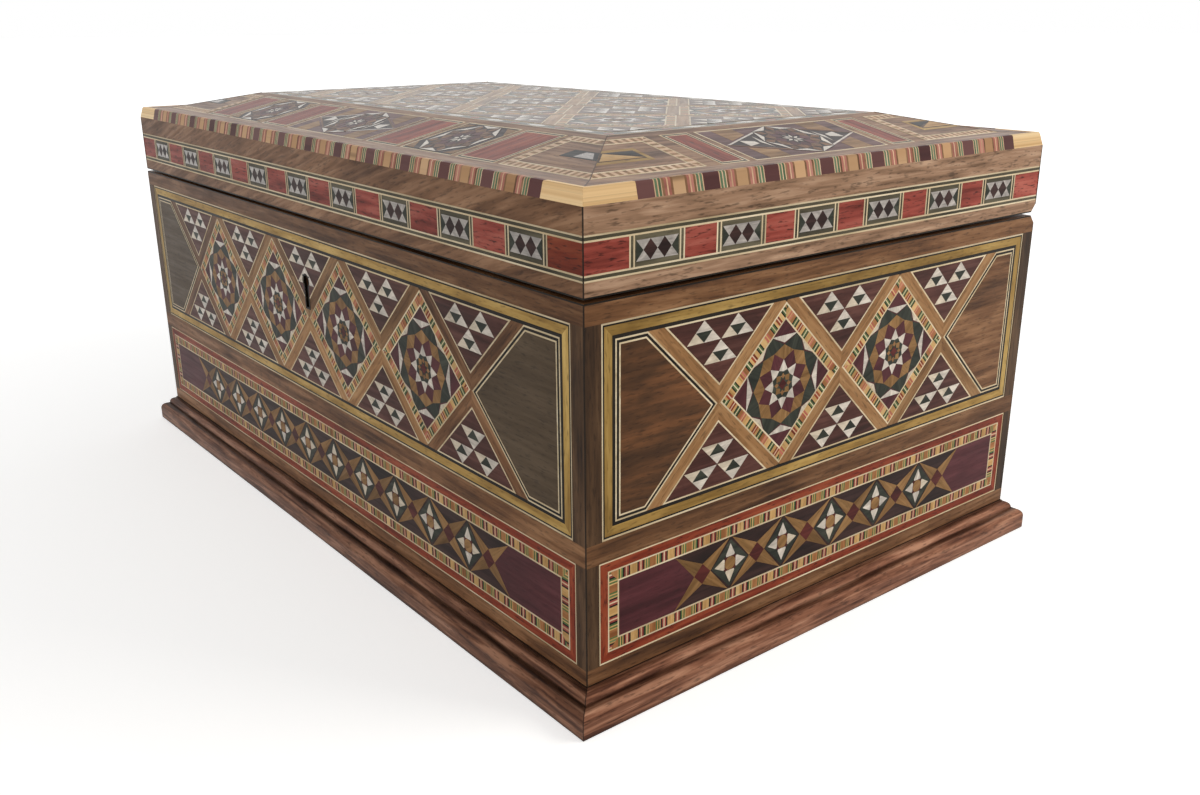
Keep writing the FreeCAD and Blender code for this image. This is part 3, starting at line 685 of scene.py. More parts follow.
class Lattice:
    """Row of star tiles with bars and triangle tiles between them; tones are for lower and upper bars."""

    line = 0.45
    strip = 2.5
    edge = 2 * line + strip
    offset = 4.7
    tip_gap = 0.5
    cluster_width, cluster_height, cluster_margin = 0.62, 0.318, 0.3
    cluster_gap_across, cluster_gap_up = 0.15, 0.1

    def __init__(self, surface, field, middle, half_height, pitch, count, tones=(BAR_TONES, BAR_TONES),
                 end_wood="walnut_bar"):
        self.surface, self.field, self.tones, self.end_wood = surface, field, tones, end_wood
        self.middle, self.half_height, self.pitch = middle, half_height, pitch
        self.crossings = spaced(count + 1, pitch)
        self.base = (half_height - self.offset) * (pitch / 2) / half_height

    def bars(self, inlay):
        height, half, gap = self.half_height, self.pitch / 2, self.tip_gap
        bar = [(0, 0), (gap, 0), (half + gap, height), (self.base, height), (0, self.offset)]
        for crossing in self.crossings:
            name = self.end_wood if abs(crossing) == self.crossings[-1] else "walnut_bar"
            for side in SIGNS:
                for up in SIGNS:
                    points = moved(mirrored(bar, side, up), crossing, self.middle)
                    grain = atan2(up * height, side * half)
                    tone = rng.choice(self.tones[up > 0])
                    inlay.lay(self.surface, points, name, 2, grain, tone, self.field)

    def triangles(self, inlay):
        for crossing in self.crossings:
            for up in SIGNS:
                self.triangle(inlay, crossing, up)

    def triangle(self, inlay, crossing, up):
        """Triangle tile with its cluster of three shell triangles."""
        def put(points, name, level):
            points = moved(mirrored(points, 1, up), crossing, self.middle)
            inlay.lay(self.surface, points, name, level, field=self.field)

        far, base = self.half_height, self.base
        width, height = base * self.cluster_width, (far - self.offset) * self.cluster_height
        feet = [far - row * height - self.cluster_margin for row in (2, 1)]
        rows = [self.offset] + feet + [far]
        outline = [(0, self.offset), (base, far), (-base, far)]
        put(outline, "cream", 3)
        ground = inset(outline, self.line)
        for low, high in zip(rows, rows[1:]):
            put(within(ground, rect(-base, base, low, high)), "plum", 4)
        half, rise = width / 2 - self.cluster_gap_across, height / 2 - self.cluster_gap_up
        for centre, foot in ((-width / 2, feet[1]), (width / 2, feet[1]), (0, feet[0])):
            middle = foot + rise
            left, right = (centre - half / 2, middle), (centre + half / 2, middle)
            put([(centre, foot + 2 * rise), left, right], "pearl", 5)
            put([(centre - half, foot), (centre, foot), left], "bone", 5)
            put([(centre, foot), (centre + half, foot), right], "pearl", 5)
            put([left, (centre, foot), right], "ebony", 5)

    def tiles(self):
        """Outer outline of each star tile."""
        half = self.pitch / 2 - self.tip_gap
        height = self.half_height * half * 2 / self.pitch
        places = spaced(len(self.crossings) - 1, self.pitch)
        return [diamond(place, self.middle, half, height) for place in places]

    def strips(self, inlay):
        inner = self.line + self.strip
        for tile in self.tiles():
            inlay.rings(self.surface, tile, [("cream", 0, self.line)], 3, self.field)
            inlay.mosaic(self.surface, tile, self.line, inner, STAR_STRIP, 3, self.field)
            inlay.rings(self.surface, tile, [("cream", inner, self.edge)], 3, self.field)

    def rosettes(self, inlay):
        for tile in self.tiles():
            ground = inset(tile, self.edge)
            half_width, half_height = (ground[2][0] - ground[0][0]) / 2, (ground[3][1] - ground[1][1]) / 2
            centre = (ground[1][0], ground[0][1])
            inlay.lay(self.surface, ground, "purple", 2, pi / 4, 0.5, self.field)
            side = half_width * half_height / hypot(half_width, half_height)
            rosette(inlay, self.surface, centre, side, 3, ground)


# Keyhole, as convex outlines to keep clear on the front
KEY_Z = RIM - 21.0
KEY_ROUND, KEY_SLOT, KEY_TALL, KEY_POINTS, KEY_WEAR_AND_SHADE = 2.0, 1.1, 10.8, 18, (0.65, 0.6)
keyhole = [disc(0, KEY_Z, KEY_ROUND, KEY_POINTS),
           rect(-KEY_SLOT, KEY_SLOT, KEY_Z + KEY_ROUND - KEY_TALL, KEY_Z)]
sides = {face: Upright(face, keyhole if face == "front" else ()) for face in FACES}
CASE_NODES = ["panel_border_" + face for face in FACES]
FRIEZE_NODES = ["frieze_field_" + face for face in FACES]

# Case: walnut veneers round the inlay, main panels and friezes
PANEL_INSET, PANEL_LOW, PANEL_HIGH = 5.1, BASE + 39.2, RIM - 5.4
FRIEZE_INSET, FRIEZE_LOW, FRIEZE_HIGH = 4.1, BASE + 4.6, BASE + 33.4
VENEER_LEVEL, SEAM_LEVEL = 9.5, 10
# Widths of the dark corner seam, the foot joint and the painted shadow of the lid gap
SEAM, FOOT_JOINT, LID_GAP_SHADOW = 0.22, 0.3, 0.4
veneers = Inlay("case_veneers", "case", [], "walnut")
frames = Inlay("panel_frames", "case", CASE_NODES, "lemonwood")
bars = Inlay("lattice_bars", "case", ["panel_lattices"], "walnut")
ends = Inlay("end_panel_inlay", "case", ["end_panels"], "dark_walnut")
strips = Inlay("star_tile_strips", "case", ["star_frames"], "mosaic")
rosettes = Inlay("star_rosettes", "case", ["star_grounds", "star_points"], "purple_wood")
triangles = Inlay("triangle_mosaics", "case", ["triangle_tiles", "triangle_inlays"], "purple_wood")
red_bands = Inlay("frieze_red_bands", "case", ["frieze_bands"], "padauk")
frieze_strips = Inlay("frieze_strips", "case", ["frieze_mosaics"], "mosaic")
chains = Inlay("frieze_star_chains", "case", FRIEZE_NODES + ["frieze_tiles"], "purple_wood")


def joint_lines(inlay, side, level, low, high, lines, field):
    """Dark seams at both ends of a side, and lines along it between pairs of heights."""
    half = side.half
    inlay.pair(side, rect(half - SEAM, half, low, high), "black", level, QUARTER_TURN, field=field)
    for near, far in lines:
        inlay.lay(side, rect(SEAM - half, half - SEAM, near, far), "black", level, field=field)


def case_veneer(side):
    half = side.half
    # Tones set per side: on the long sides the lower rails and stiles are lighter, painted light for the
    # front, which the lamps light less, and the top rail is darkest, painted shade under the lid
    painted_rail_light, painted_stile_light = ((1.0, 0.85, 0.3), 0.8) if side.long else ((0.48, 0.34, 0.58), 0.42)
    wall = clear_of_bevel(side, BASE, CASE_BACK_TOP)
    top = CASE_BACK_TOP if side.face == "back" else RIM
    for low, high, tone in zip((BASE, FRIEZE_HIGH, PANEL_HIGH), (FRIEZE_LOW, PANEL_LOW, top), painted_rail_light):
        veneers.lay(side, rect(-half, half, low, high), "walnut", VENEER_LEVEL, 0.0, tone, wall)
    for low, high, width in ((FRIEZE_LOW, FRIEZE_HIGH, FRIEZE_INSET), (PANEL_LOW, PANEL_HIGH, PANEL_INSET)):
        stile = rect(half - width, half, low, high)
        veneers.pair(side, stile, "walnut_deep", VENEER_LEVEL, QUARTER_TURN, painted_stile_light)
    # Dark foot joint, and painted shadow of the lid gap along the top
    lines = ((BASE, BASE + FOOT_JOINT), (top - LID_GAP_SHADOW, top))
    joint_lines(veneers, side, SEAM_LEVEL, BASE, top, lines, wall)


# Main panels, with the tones of lower and upper bars on the long sides: the lower bars lighter, painted
# light from the floor, and the upper bars darker, painted shade under the lid
FIELD_INSET = 4.3
LONG_PITCH, LONG_TILES, SHORT_PITCH, SHORT_TILES = 49.6, 4, 48.0, 2
LONG_BAR_LIGHT_AND_SHADE = ((0.7, 0.85, 0.95, 1.0), (0.0, 0.1, 0.2, 0.34))


def main_panel(side):
    half = side.half
    outline = rect(PANEL_INSET - half, half - PANEL_INSET, PANEL_LOW, PANEL_HIGH)
    yellow = "citron" if side.long else "lemonwood"
    bands = [("cream", 0, 0.5), ("black", 0.5, 0.95), (yellow, 0.95, 3.35), ("black", 3.35, FIELD_INSET)]
    frames.rings(side, outline, bands, 2)
    field = inset(outline, FIELD_INSET)
    middle, half_height = (PANEL_LOW + PANEL_HIGH) / 2, (PANEL_HIGH - PANEL_LOW) / 2 - FIELD_INSET
    if side.long:
        lattice = Lattice(side, field, middle, half_height, LONG_PITCH, LONG_TILES, LONG_BAR_LIGHT_AND_SHADE, "walnut")
    else:
        lattice = Lattice(side, field, middle, half_height, SHORT_PITCH, SHORT_TILES)
    bars.lay(side, field, "black", 0, depth=DEEP)
    lattice.bars(bars)
    lattice.triangles(triangles)
    lattice.strips(strips)
    lattice.rosettes(rosettes)
    tip = lattice.crossings[-1] + lattice.tip_gap
    end = arrow(tip, tip + lattice.pitch / 2, half - PANEL_INSET - FIELD_INSET, field[0][1], field[2][1])
    for sign in SIGNS:
        leaf = "smoky" if side.long else "burr" if sign < 0 else "walnut"
        layers = (("cream", 0), ("black", 0.45), ("cream", 1.15), (leaf, 1.6))
        for level, (name, distance) in enumerate(layers, 3):
            ends.lay(side, mirrored(inset(end, distance), sign), name, level, 0.0, 0.5)


# Friezes: a chain of star tiles and knots in a dark field
RED_NEAR, RED_FAR, STRIP_NEAR, STRIP_FAR, CHAIN_INSET = 0.45, 2.9, 3.3, 6.05, 6.5
LONG_CHAIN, SHORT_CHAIN, CHAIN_PITCH = 10, 5, 20.9
KNOT, TAIL_SHOULDER, RAY_GAP_ACROSS, RAY_GAP_UP = 3.0, 9.4, 0.5, 0.1
STAR_WIDTH, STAR_MARGIN, STAR_HEART, STAR_EYE = 7.0, 0.7, 2.1, 2.05
PETAL = [(0, 5.9), (33, 3.1), (36, 2.4), (-36, 2.4), (-33, 3.1)]


def frieze(side):
    half = side.half
    outline = rect(FRIEZE_INSET - half, half - FRIEZE_INSET, FRIEZE_LOW, FRIEZE_HIGH)
    red_bands.rings(side, outline, [("cream", 0, RED_NEAR), ("padauk", RED_NEAR, RED_FAR)], 3)
    lines = [("cream", RED_FAR, STRIP_NEAR), ("cream", STRIP_FAR, CHAIN_INSET)]
    frieze_strips.rings(side, outline, lines, 3)
    frieze_strips.mosaic(side, outline, STRIP_NEAR, STRIP_FAR, FRIEZE_STRIP, 3)
    field = inset(outline, CHAIN_INSET)
    chains.lay(side, field, "dusk", 2, 0.0, 0.5, depth=DEEP)
    low, high = field[0][1], field[2][1]
    middle, tall = (low + high) / 2, (high - low) / 2
    count = LONG_CHAIN if side.long else SHORT_CHAIN
    knots = spaced(count + 1, CHAIN_PITCH)
    tail = arrow(knots[-1] + KNOT, knots[-1] + TAIL_SHOULDER, field[1][0], low, high)
    chains.pair(side, tail, "purple", 3, 0.0, 0.62)
    for star in spaced(count, CHAIN_PITCH):
        chains.lay(side, diamond(star, middle, STAR_WIDTH, tall - STAR_MARGIN), "ebony", 3, 0.0, 0.45)
        for turn in QUARTERS:
            petal = spun(PETAL, turn, 1, (star, middle))
            chains.lay(side, petal, rng.choice(("pearl", "bone")), 5, radians(turn))
        heart = rect(star - STAR_HEART, star + STAR_HEART, middle - STAR_HEART, middle + STAR_HEART)
        chains.lay(side, heart, "crimson", 6, 0.0, 0.2)
        chains.lay(side, disc(star, middle, STAR_EYE, 12), "tan", 7, 0.5, 0.6)
    for knot in knots:
        for turn in QUARTERS:
            across, upward = polar(turn + 45, 1)
            tip = (copysign(CHAIN_PITCH / 2 - RAY_GAP_ACROSS, across),
                   copysign(tall - RAY_GAP_UP, upward))
            ray = moved([polar(turn, KNOT), tip, polar(turn + 90, KNOT)], knot, middle)
            chains.lay(side, ray, "tan", 4, atan2(tip[1], tip[0]), rng.choice((0.05, 0.35, 0.5, 0.6)))
        chains.lay(side, diamond(knot, middle, KNOT, KNOT), "crimson", 5, 0.0, 0.1)


def keyhole_edge():
    """Dark rim round the keyhole: wear, and painted shade that widens the dark of the hole."""
    beside, below = KEY_WEAR_AND_SHADE
    rim = disc(0, KEY_Z, KEY_ROUND + below, KEY_POINTS)
    triangles.lay(sides["front"], rim, "black", 6, QUARTER_TURN)
    slot = rect(-KEY_SLOT - beside, KEY_SLOT + beside, KEY_Z + KEY_ROUND - KEY_TALL - below, KEY_Z)
    triangles.lay(sides["front"], slot, "black", 6.5, QUARTER_TURN)


for side in sides.values():
    case_veneer(side)
    main_panel(side)
    frieze(side)
keyhole_edge()

# Lid sides: string lines, red blocks and dark tiles with rows of shell points
BAND_LOW, STRING, TILE_HEIGHT = LID_LOW + 3.75, 1.7, 7.4
STRING_BANDS = (("cream", 0, 0.45), ("olive", 0.45, 1.25), ("cream", 1.25, STRING))
LONG_ROW, SHORT_ROW, END_TILE = 9, 6, 22.2
TILE_HALF, TILE_LINES = 8.7, ((8.25, 8.7), (7.0, 7.45))
POINT_HALF, POINT_TALL = 2.2, 2.5
seams = Inlay("lid_seams_and_gap_shadow", "lid", [], "walnut")
strings = Inlay("lid_string_lines", "lid", ["lid_stringing"], "mosaic")
blocks = Inlay("lid_side_blocks", "lid", ["lid_red_blocks"], "padauk")
tiles = Inlay("lid_side_tiles", "lid", ["lid_tiles"], "mosaic")


def lid_side(side):
    half = side.half
    tile_low = BAND_LOW + STRING
    tile_high = tile_low + TILE_HEIGHT
    for low in (BAND_LOW, tile_high):
        for name, near, far in STRING_BANDS:
            strings.lay(side, rect(-half, half, low + near, low + far), name, 4, depth=DEEP)
    rail = clear_of_bevel(side, LID_SIDE_TOP, LID_BACK_LOW)
    low = LID_BACK_LOW if side.face == "back" else LID_LOW
    # Dark corner seams, and painted shadow of the lid gap along the rail's lower edge
    joint_lines(seams, side, VENEER_LEVEL, low, LID_SIDE_TOP, [(low, low + LID_GAP_SHADOW)], rail)
    count = LONG_ROW if side.long else SHORT_ROW
    pitch = 2 * (half - END_TILE) / (count - 1)
    places = spaced(count, pitch)
    joints = [-half] + [place + sign * TILE_HALF for place in places for sign in (-1, 1)] + [half]
    for left, right in zip(joints[::2], joints[1::2]):
        name, tone = ("padauk", 0.0) if side.face == "front" and right == half else ("redwood", None)
        blocks.lay(side, rect(left, right, tile_low, tile_high), name, 4, 0.0, tone, depth=DEEP)
    for place in places:
        lid_tile(side, place, tile_low, tile_high)


def lid_tile(side, place, low, high):
    middle = (low + high) / 2
    tiles.lay(side, rect(place - TILE_HALF, place + TILE_HALF, low, high), "olive", 3, 0.0, 0.5, depth=DEEP)
    for sign in SIGNS:
        for near, far in TILE_LINES:
            line = mirrored(rect(near, far, low, high), sign)
            tiles.lay(side, moved(line, place, 0), "cream", 5, QUARTER_TURN)
    for spot in (place - 2 * POINT_HALF, place, place + 2 * POINT_HALF):
        for up in SIGNS:
            foot = middle + up * POINT_TALL
            point = [(spot, middle), (spot + POINT_HALF, foot), (spot - POINT_HALF, foot)]
            tiles.lay(side, point, "grey_pearl", 5)
    for spot in (place - POINT_HALF, place + POINT_HALF):
        tiles.lay(side, diamond(spot, middle, POINT_HALF, POINT_TALL), "dusk", 5, 0.0, 0.85)
    far = 3 * POINT_HALF
    end = [(2 * POINT_HALF, middle), (far, middle - POINT_TALL), (far, middle + POINT_TALL)]
    for sign in SIGNS:
        tiles.lay(side, moved(mirrored(end, sign), place, 0), "ebony", 5, 0.0, 0.6)


# Striped edge of the lid, made as short lengths of its section
edges = Inlay("lid_edge_stripes", "lid", ["lid_edge_strips", "lid_edge_corners"], "mosaic")
EDGE_RISE = LEDGE_TOP - LID_SIDE_TOP
EDGE_SECTION = [(0.0, 0.0), (0.3, 1.15), (0.42, 1.6), (0.88, EDGE_RISE - 0.5), (1.2, EDGE_RISE),
                (LEDGE_NEAR, EDGE_RISE), (LEDGE_NEAR, 0.0)]
EDGE_CORNER = 16.0


def lid_edge(side):
    half, reach = side.half, side.reach
    run = half - EDGE_CORNER
    period = sum(width for _, width in EDGE_STRIPES)
    repeats = round((2 * run - EDGE_PURPLE) / period)
    stretch = 2 * run / (repeats * period + EDGE_PURPLE)
    cells = [(-half, -run, "blond")]
    place = -run
    for name, width in EDGE_STRIPES * repeats + EDGE_STRIPES[:1]:
        cells.append((place, place + width * stretch, name))
        place += width * stretch
    cells.append((run, half, "blond"))
    travel = [0.0]
    for a, b in zip(EDGE_SECTION, EDGE_SECTION[1:]):
        travel.append(travel[-1] + hypot(b[0] - a[0], b[1] - a[1]))
    for left, right, name in cells:
        rows = []
        for u in (left, right):
            clear = [max(t - half, min(half - t, u)) for t, _ in EDGE_SECTION]
            rows.append([turned(side.face, at, t - reach, LID_SIDE_TOP + z)
                         for at, (t, z) in zip(clear, EDGE_SECTION)])
        plain = name == "blond"
        uvs = [(left, distance) if plain else (distance, 0.0) for distance in travel]
        # Fixed light tones on the long sides' edge pieces: painted light that brightens the front, which the
        # lamps light less
        tone = (0.95 if plain else 0.85) if side.long else None
        edges.solid(rows[1], rows[0], uvs, name, tone)


# Lid slopes, with sizes along the edge
LACQUER = 0.25
slopes = Inlay("lid_slope_veneer", "lid", ["lid_slope_veneers"], "walnut", LACQUER)
corners = Inlay("lid_corner_inlay", "lid", ["lid_corner_panels"], "walnut", LACQUER)
slats = Inlay("lid_slat_inlay", "lid", ["lid_red_slats"], "padauk", LACQUER)
stars = Inlay("lid_star_inlay", "lid", ["lid_star_panels", "lid_medallions"], "purple_wood", LACQUER)
SLOPE_MIDDLE, SLOPE_TALL = (PANEL_NEAR + PANEL_FAR) / 2, (PANEL_FAR - PANEL_NEAR) / 2
HIP_JOINT = 0.16
LONG_SLAT, SHORT_SLAT, SLAT_LINE = 18.4, 10.2, 1.5
PANEL_GAP, SHORT_GAP, LOZENGE_HALF, STAR_LENGTH = 2.4, 5.2, 27.0, 27.4
SLAT_BANDS = [("cream", 0, 0.45), ("black", 0.45, 1.1), ("cream", 1.1, SLAT_LINE)]
LADDER_NEAR, LADDER_FAR, LADDER_EDGE = 0.5, 3.1, 3.6
# Motifs of the corner panels, as distances from the end of the face and from the edge
BLACK_MOTIF = [(36, 20.5), (20.6, 20.5), (25.6, 25.5), (35.5, 25.5)]
SHELL_MOTIF = [(31, 21.2), (23, 21.2), (27, 24.8), (30, 24.8)]
FRAMED_MOTIF = [(37.25, 18.0), (18.1, 18.0), (26.9, 26.8), (37.25, 26.8)]
MOTIF_FRAME, MOTIF_LINE, MOTIF_NOTCH = 1.5, 0.5, 1.2
# Shell pieces beside the medallion of a lozenge panel, from its middle
BOW = [(11.9, -4.5), (13.2, 0), (11.9, 4.5)]
FISHTAIL = [(14.5, -1.0), (19.0, -2.2), (19.0, 2.2), (14.5, 1.0)]
TAN_NEAR, TAN_FAR = 13, 21
# Sizes and clearances inside the star and lozenge panels
STAR_CLEAR, WING_END, WING_EDGE, WING = 0.9, 0.8, 0.4, 5.8
LOZENGE_LINE, LOZENGE_CLEAR, MEDALLION_CLEAR = 0.6, 1.0, 0.5


def corner_panel(slope, edge, sign):
    half = slope.side.half

    def put(points, name, level, grain=0.0, tone=None):
        corners.lay(slope, mirrored(points, sign), name, level, grain, tone)

    def from_end(motif):
        return [(half - u, w) for u, w in motif]

    outline = [(edge, PANEL_NEAR), (half - PANEL_NEAR, PANEL_NEAR), (half - PANEL_FAR, PANEL_FAR),
               (edge, PANEL_FAR)]
    bordered = (0, 2, 3)
    put(outline, "walnut_lid", 3, 0.0, 0.45)
    for near, far in ((0, LADDER_NEAR), (LADDER_FAR, LADDER_EDGE)):
        for strip in ring(outline, near, far, bordered):
            put(strip, "cream", 4, angle_of(strip))
    for strip in ring(outline, LADDER_NEAR, LADDER_FAR, bordered):
        for piece, name in slices(strip, LADDER):
            put(piece, name, 4, angle_of(strip))
    if slope.side.long:
        put(from_end(BLACK_MOTIF), "black", 4)
        put(from_end(SHELL_MOTIF), "grey_pearl", 5)
    else:
        motif = from_end(FRAMED_MOTIF)
        put(motif, "lemonwood", 4, 0.0, 0.6)
        room = inset(motif, [MOTIF_FRAME, 0.0, MOTIF_FRAME, MOTIF_FRAME])
        put(room, "walnut_deep", 5, 0.0, 0.3)
        a, b, c, d = inset(room, MOTIF_LINE)
        put([a, b, c], "straw", 6, 0.0, 0.2)
        put([(a[0], a[1] + MOTIF_NOTCH), c, d], "black", 6)


def slope_face(side):
    slope, half = Slope(side), side.half
    margins = ((Ledge(side), LEDGE_NEAR, PANEL_NEAR, 4), (slope, PANEL_NEAR, SLOPE_INSET, 1))
    for surface, near, far, level in margins:
        outline = [(near - half, near), (half - near, near), (half - far, far), (far - half, far)]
        slopes.lay(surface, outline, "walnut_lid", level, 0.0, 0.5, depth=DEEP)
    for surface, near, far, _ in margins:
        wide, narrow = half - near, half - far
        joint = [(wide - HIP_JOINT, near), (wide, near), (narrow, far), (narrow - HIP_JOINT, far)]
        slopes.pair(surface, joint, "walnut_deep", 7, pi / 4, 0.6)
    slat = LONG_SLAT if side.long else SHORT_SLAT
    edge = LOZENGE_HALF + PANEL_GAP
    runs = [edge]
    edge += slat + PANEL_GAP
    lozenge_panel(slope)
    if side.long:
        for sign in SIGNS:
            star_panel(slope, sign * (edge + STAR_LENGTH / 2))
        edge += STAR_LENGTH + PANEL_GAP
        runs.append(edge)
        edge += slat + PANEL_GAP
    else:
        edge += SHORT_GAP - PANEL_GAP
    for start in runs:
        for sign in SIGNS:
            outline = counter_clockwise(mirrored(rect(start, start + slat, PANEL_NEAR, PANEL_FAR), sign))
            slats.rings(slope, outline, SLAT_BANDS, 4)
            slats.lay(slope, inset(outline, SLAT_LINE), "padauk", 4, QUARTER_TURN)
    for sign in SIGNS:
        corner_panel(slope, edge, sign)


def medallion(slope, centre, radius, first, level):
    """Octagon edged with slender shell triangles round a small star; first is the angle of one corner."""
    def put(spoke, corners, name, tone=0.5, step=1):
        points = spun(corners, first + spoke, radius, centre)
        stars.lay(slope, points, name, level + step, radians(first + spoke), tone)

    put(0, [(turn, 1.0) for turn in EIGHTHS], "dusk", step=0)
    for spoke in EIGHTHS:
        put(spoke, [(0, 0.98), (45, 0.98), (BETWEEN, 0.76)], "pearl", rng.uniform(0.4, 0.75))
        put(spoke, kite(0.62, 9, 0.78, 0.95), "walnut", rng.uniform(0.2, 0.5))
        put(spoke + BETWEEN, kite(0.45, BETWEEN, 0.6, 0.75), "walnut", rng.uniform(0.1, 0.4))
        put(spoke, kite(0.24, BETWEEN, 0.44, 0.6), "purple", rng.uniform(0.4, 0.7))
        put(spoke + BETWEEN, kite(0.06, 16, 0.15, 0.29), "pearl", step=2)


def bordered_panel(slope, left, right, name, tone):
    outline = rect(left, right, PANEL_NEAR, PANEL_FAR)
    stars.lay(slope, outline, name, 2, 0.0, tone)
    stars.rings(slope, outline, [("cream", 0, 0.5)], 3)


def star_panel(slope, place):
    half, side = STAR_LENGTH / 2, SLOPE_TALL - STAR_CLEAR
    bordered_panel(slope, place - half, place + half, "dusk", 0.5)
    end, edge = half - WING_END, side - WING_EDGE
    wing = [(end, edge), (end, WING), (half - WING, edge)]
    for sign in SIGNS:
        for up in SIGNS:
            points = moved(mirrored(wing, sign, up), place, SLOPE_MIDDLE)
            stars.lay(slope, points, "tan", 3, 0.0, 0.2)
    medallion(slope, (place, SLOPE_MIDDLE), side / cos(pi / 8), BETWEEN, 4)


def lozenge_panel(slope):
    bordered_panel(slope, -LOZENGE_HALF, LOZENGE_HALF, "mauve", 0.4)
    edge, end = SLOPE_TALL - LOZENGE_LINE, LOZENGE_HALF - LOZENGE_LINE
    lozenge = diamond(0, SLOPE_MIDDLE, LOZENGE_HALF - LOZENGE_CLEAR, edge)
    stars.lay(slope, lozenge, "dusk", 3, 0.0, 0.5)
    for i, strip in enumerate(ring(lozenge, 0, LOZENGE_LINE)):
        stars.lay(slope, strip, "pearl" if i % 2 else "walnut", 4, angle_of(strip), 0.5)
    corner = [(LOZENGE_CLEAR, edge), (end, edge), (end, LOZENGE_LINE)]
    for sign in SIGNS:
        left, right = sorted((sign * TAN_NEAR, sign * TAN_FAR))
        for up in SIGNS:
            outline = counter_clockwise(moved(mirrored(corner, sign, up), 0, SLOPE_MIDDLE))
            band = within(outline, rect(left, right, PANEL_NEAR, PANEL_FAR))
            stars.lay(slope, band, "tan", 3, 0.0, 0.5)
        for piece in (BOW, FISHTAIL):
            stars.lay(slope, moved(mirrored(piece, sign), 0, SLOPE_MIDDLE), "pearl", 5)
    medallion(slope, (0, SLOPE_MIDDLE), SLOPE_TALL - MEDALLION_CLEAR, 0, 5)


# Flat middle of the lid: a border row of slim diamonds round a field of two lattices
CENTRE_NODES = ["lid_centre_border", "lid_centre_panel"]
# The lid's middle gets painted glare: a pale wash for light reflected off its lacquer at a grazing angle
centre = Inlay("lid_centre_mosaic", "lid", CENTRE_NODES, "mosaic", lacquer=0.38, glare_wash=0.18)
ROW_BANDS = [("cream", 0.6, 1.05), ("ebony", 1.05, 5.2), ("cream", 5.2, 5.65)]
ROW_MIDDLE, ROW_EDGE, ROW_PITCH, ROW_FAR = 3.1, 1.1, 21, 6.2
ROW_TALL, PEARL_LONG, RED_LONG = 1.6, 5.2, 2.4


def lid_middle():
    top = Top()
    half_x, half_y = HALF_X - SLOPE_INSET, HALF_Y - SLOPE_INSET
    outline = rect(-half_x, half_x, -half_y, half_y)
    centre.lay(top, outline, "walnut", 0, 0.0, 0.4, depth=DEEP)
    centre.rings(top, outline, ROW_BANDS, 1)
    room = inset(outline, ROW_EDGE)
    for i, (start, end) in enumerate(corner_pairs(inset(outline, ROW_MIDDLE))):
        length, along = heading(start, end)
        count = round(length / ROW_PITCH)
        for j in range(count):
            spot = stepped(start, along, (j + 0.5) * length / count)
            for shift, long, name in ((0, PEARL_LONG, "pearl"), (length / count / 2, RED_LONG, "padauk")):
                piece = [stepped(spot, along, u + shift, w) for u, w in diamond(0, 0, long, ROW_TALL)]
                centre.lay(top, piece, name, 2, QUARTER_TURN * i, field=room)
    field = inset(outline, ROW_FAR)
    width, tall = field[1][0], field[2][1]
    centre.lay(top, field, "black", 1)
    for row in (-1, 1):
        lattice = Lattice(top, field, row * tall / 2, tall / 2, width / 2, 4)
        for part in (lattice.bars, lattice.triangles, lattice.strips, lattice.rosettes):
            part(centre)


for side in sides.values():
    lid_side(side)
    lid_edge(side)
    slope_face(side)
lid_middle()
for inlay in Inlay.every:
    inlay.make()

# Solids that stay: walls, plinth, rails and metalwork
WALL = ((60, 37, 22), (104, 70, 44), (142, 103, 71))
RAIL_X = ((82, 55, 37), (124, 89, 63), (160, 122, 92))
RAIL_Y = ((106, 80, 60), (152, 119, 94), (184, 151, 124))
PLINTH_X = ((74, 45, 32), (121, 80, 58), (163, 118, 92))
PLINTH_Y = ((86, 51, 36), (138, 92, 69), (182, 134, 106))
PALE = ((150, 118, 80), (178, 146, 104), (198, 168, 126))
# Painted shade on the plinth along its foot, in its quirks and at its top, by share of its height
PLINTH_PAINTED_SHADE = ((0.0, 0.3), (0.12, 1.0), (0.64, 1.0), (0.69, 0.24), (0.73, 0.3), (0.78, 1.0), (0.92, 1.0),
         (0.96, 0.34))


def plinth_wood(axis, colours, brighter):
    """Streaky wood with painted shade at its foot, in its quirks and at its top, and dark mitres; the last
    argument is the share of that painted shade taken off where the plinth is better lit.
    """
    plain = wood("plinth_along_" + axis, *colours, axis, 0.5, (0.68, 0.2, 0.12), 0.4, 0.06)
    graph = copied_graph("shaded_plinth_" + axis, plain)
    axes = graph.node("SeparateXYZ", {0: graph.position()}).outputs
    # Painted shade darkens the wood by height
    height = graph.math("DIVIDE", axes["Z"], BASE * MM)
    plinth_shade = graph.ramp(height, *[(at, grey(shade + (1 - shade) * brighter)) for at, shade in PLINTH_PAINTED_SHADE])
    graph.repaint(1.0, plinth_shade, "MULTIPLY")
    reach = [graph.math("ABSOLUTE", axes[key]) for key in ("X", "Y")]
    beside = graph.math("SUBTRACT", graph.math("SUBTRACT", *reach), (HALF_X - HALF_Y) * MM)
    joint = graph.remap(graph.math("ABSOLUTE", beside), 0.0001, 0.0003, 0.85, 0.0)
    graph.repaint(joint, srgb(30, 20, 14))
    return graph.owner


def dress(material, *names):
    for name in names:
        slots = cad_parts[name].data.materials
        slots.clear()
        slots.append(material)


dress(wood("walnut_along_x", *WALL, "x"), "front_wall", "back_wall")
dress(wood("walnut_along_y", *WALL, "y"), "left_wall", "right_wall")
dress(wood("lid_walnut_along_x", *RAIL_X, "x", tilt=0.3), "lid_rail_front", "lid_rail_back")
dress(wood("lid_walnut_along_y", *RAIL_Y, "y", 0.6, (0.56, 0.22, 0.22)), "lid_rail_left", "lid_rail_right")
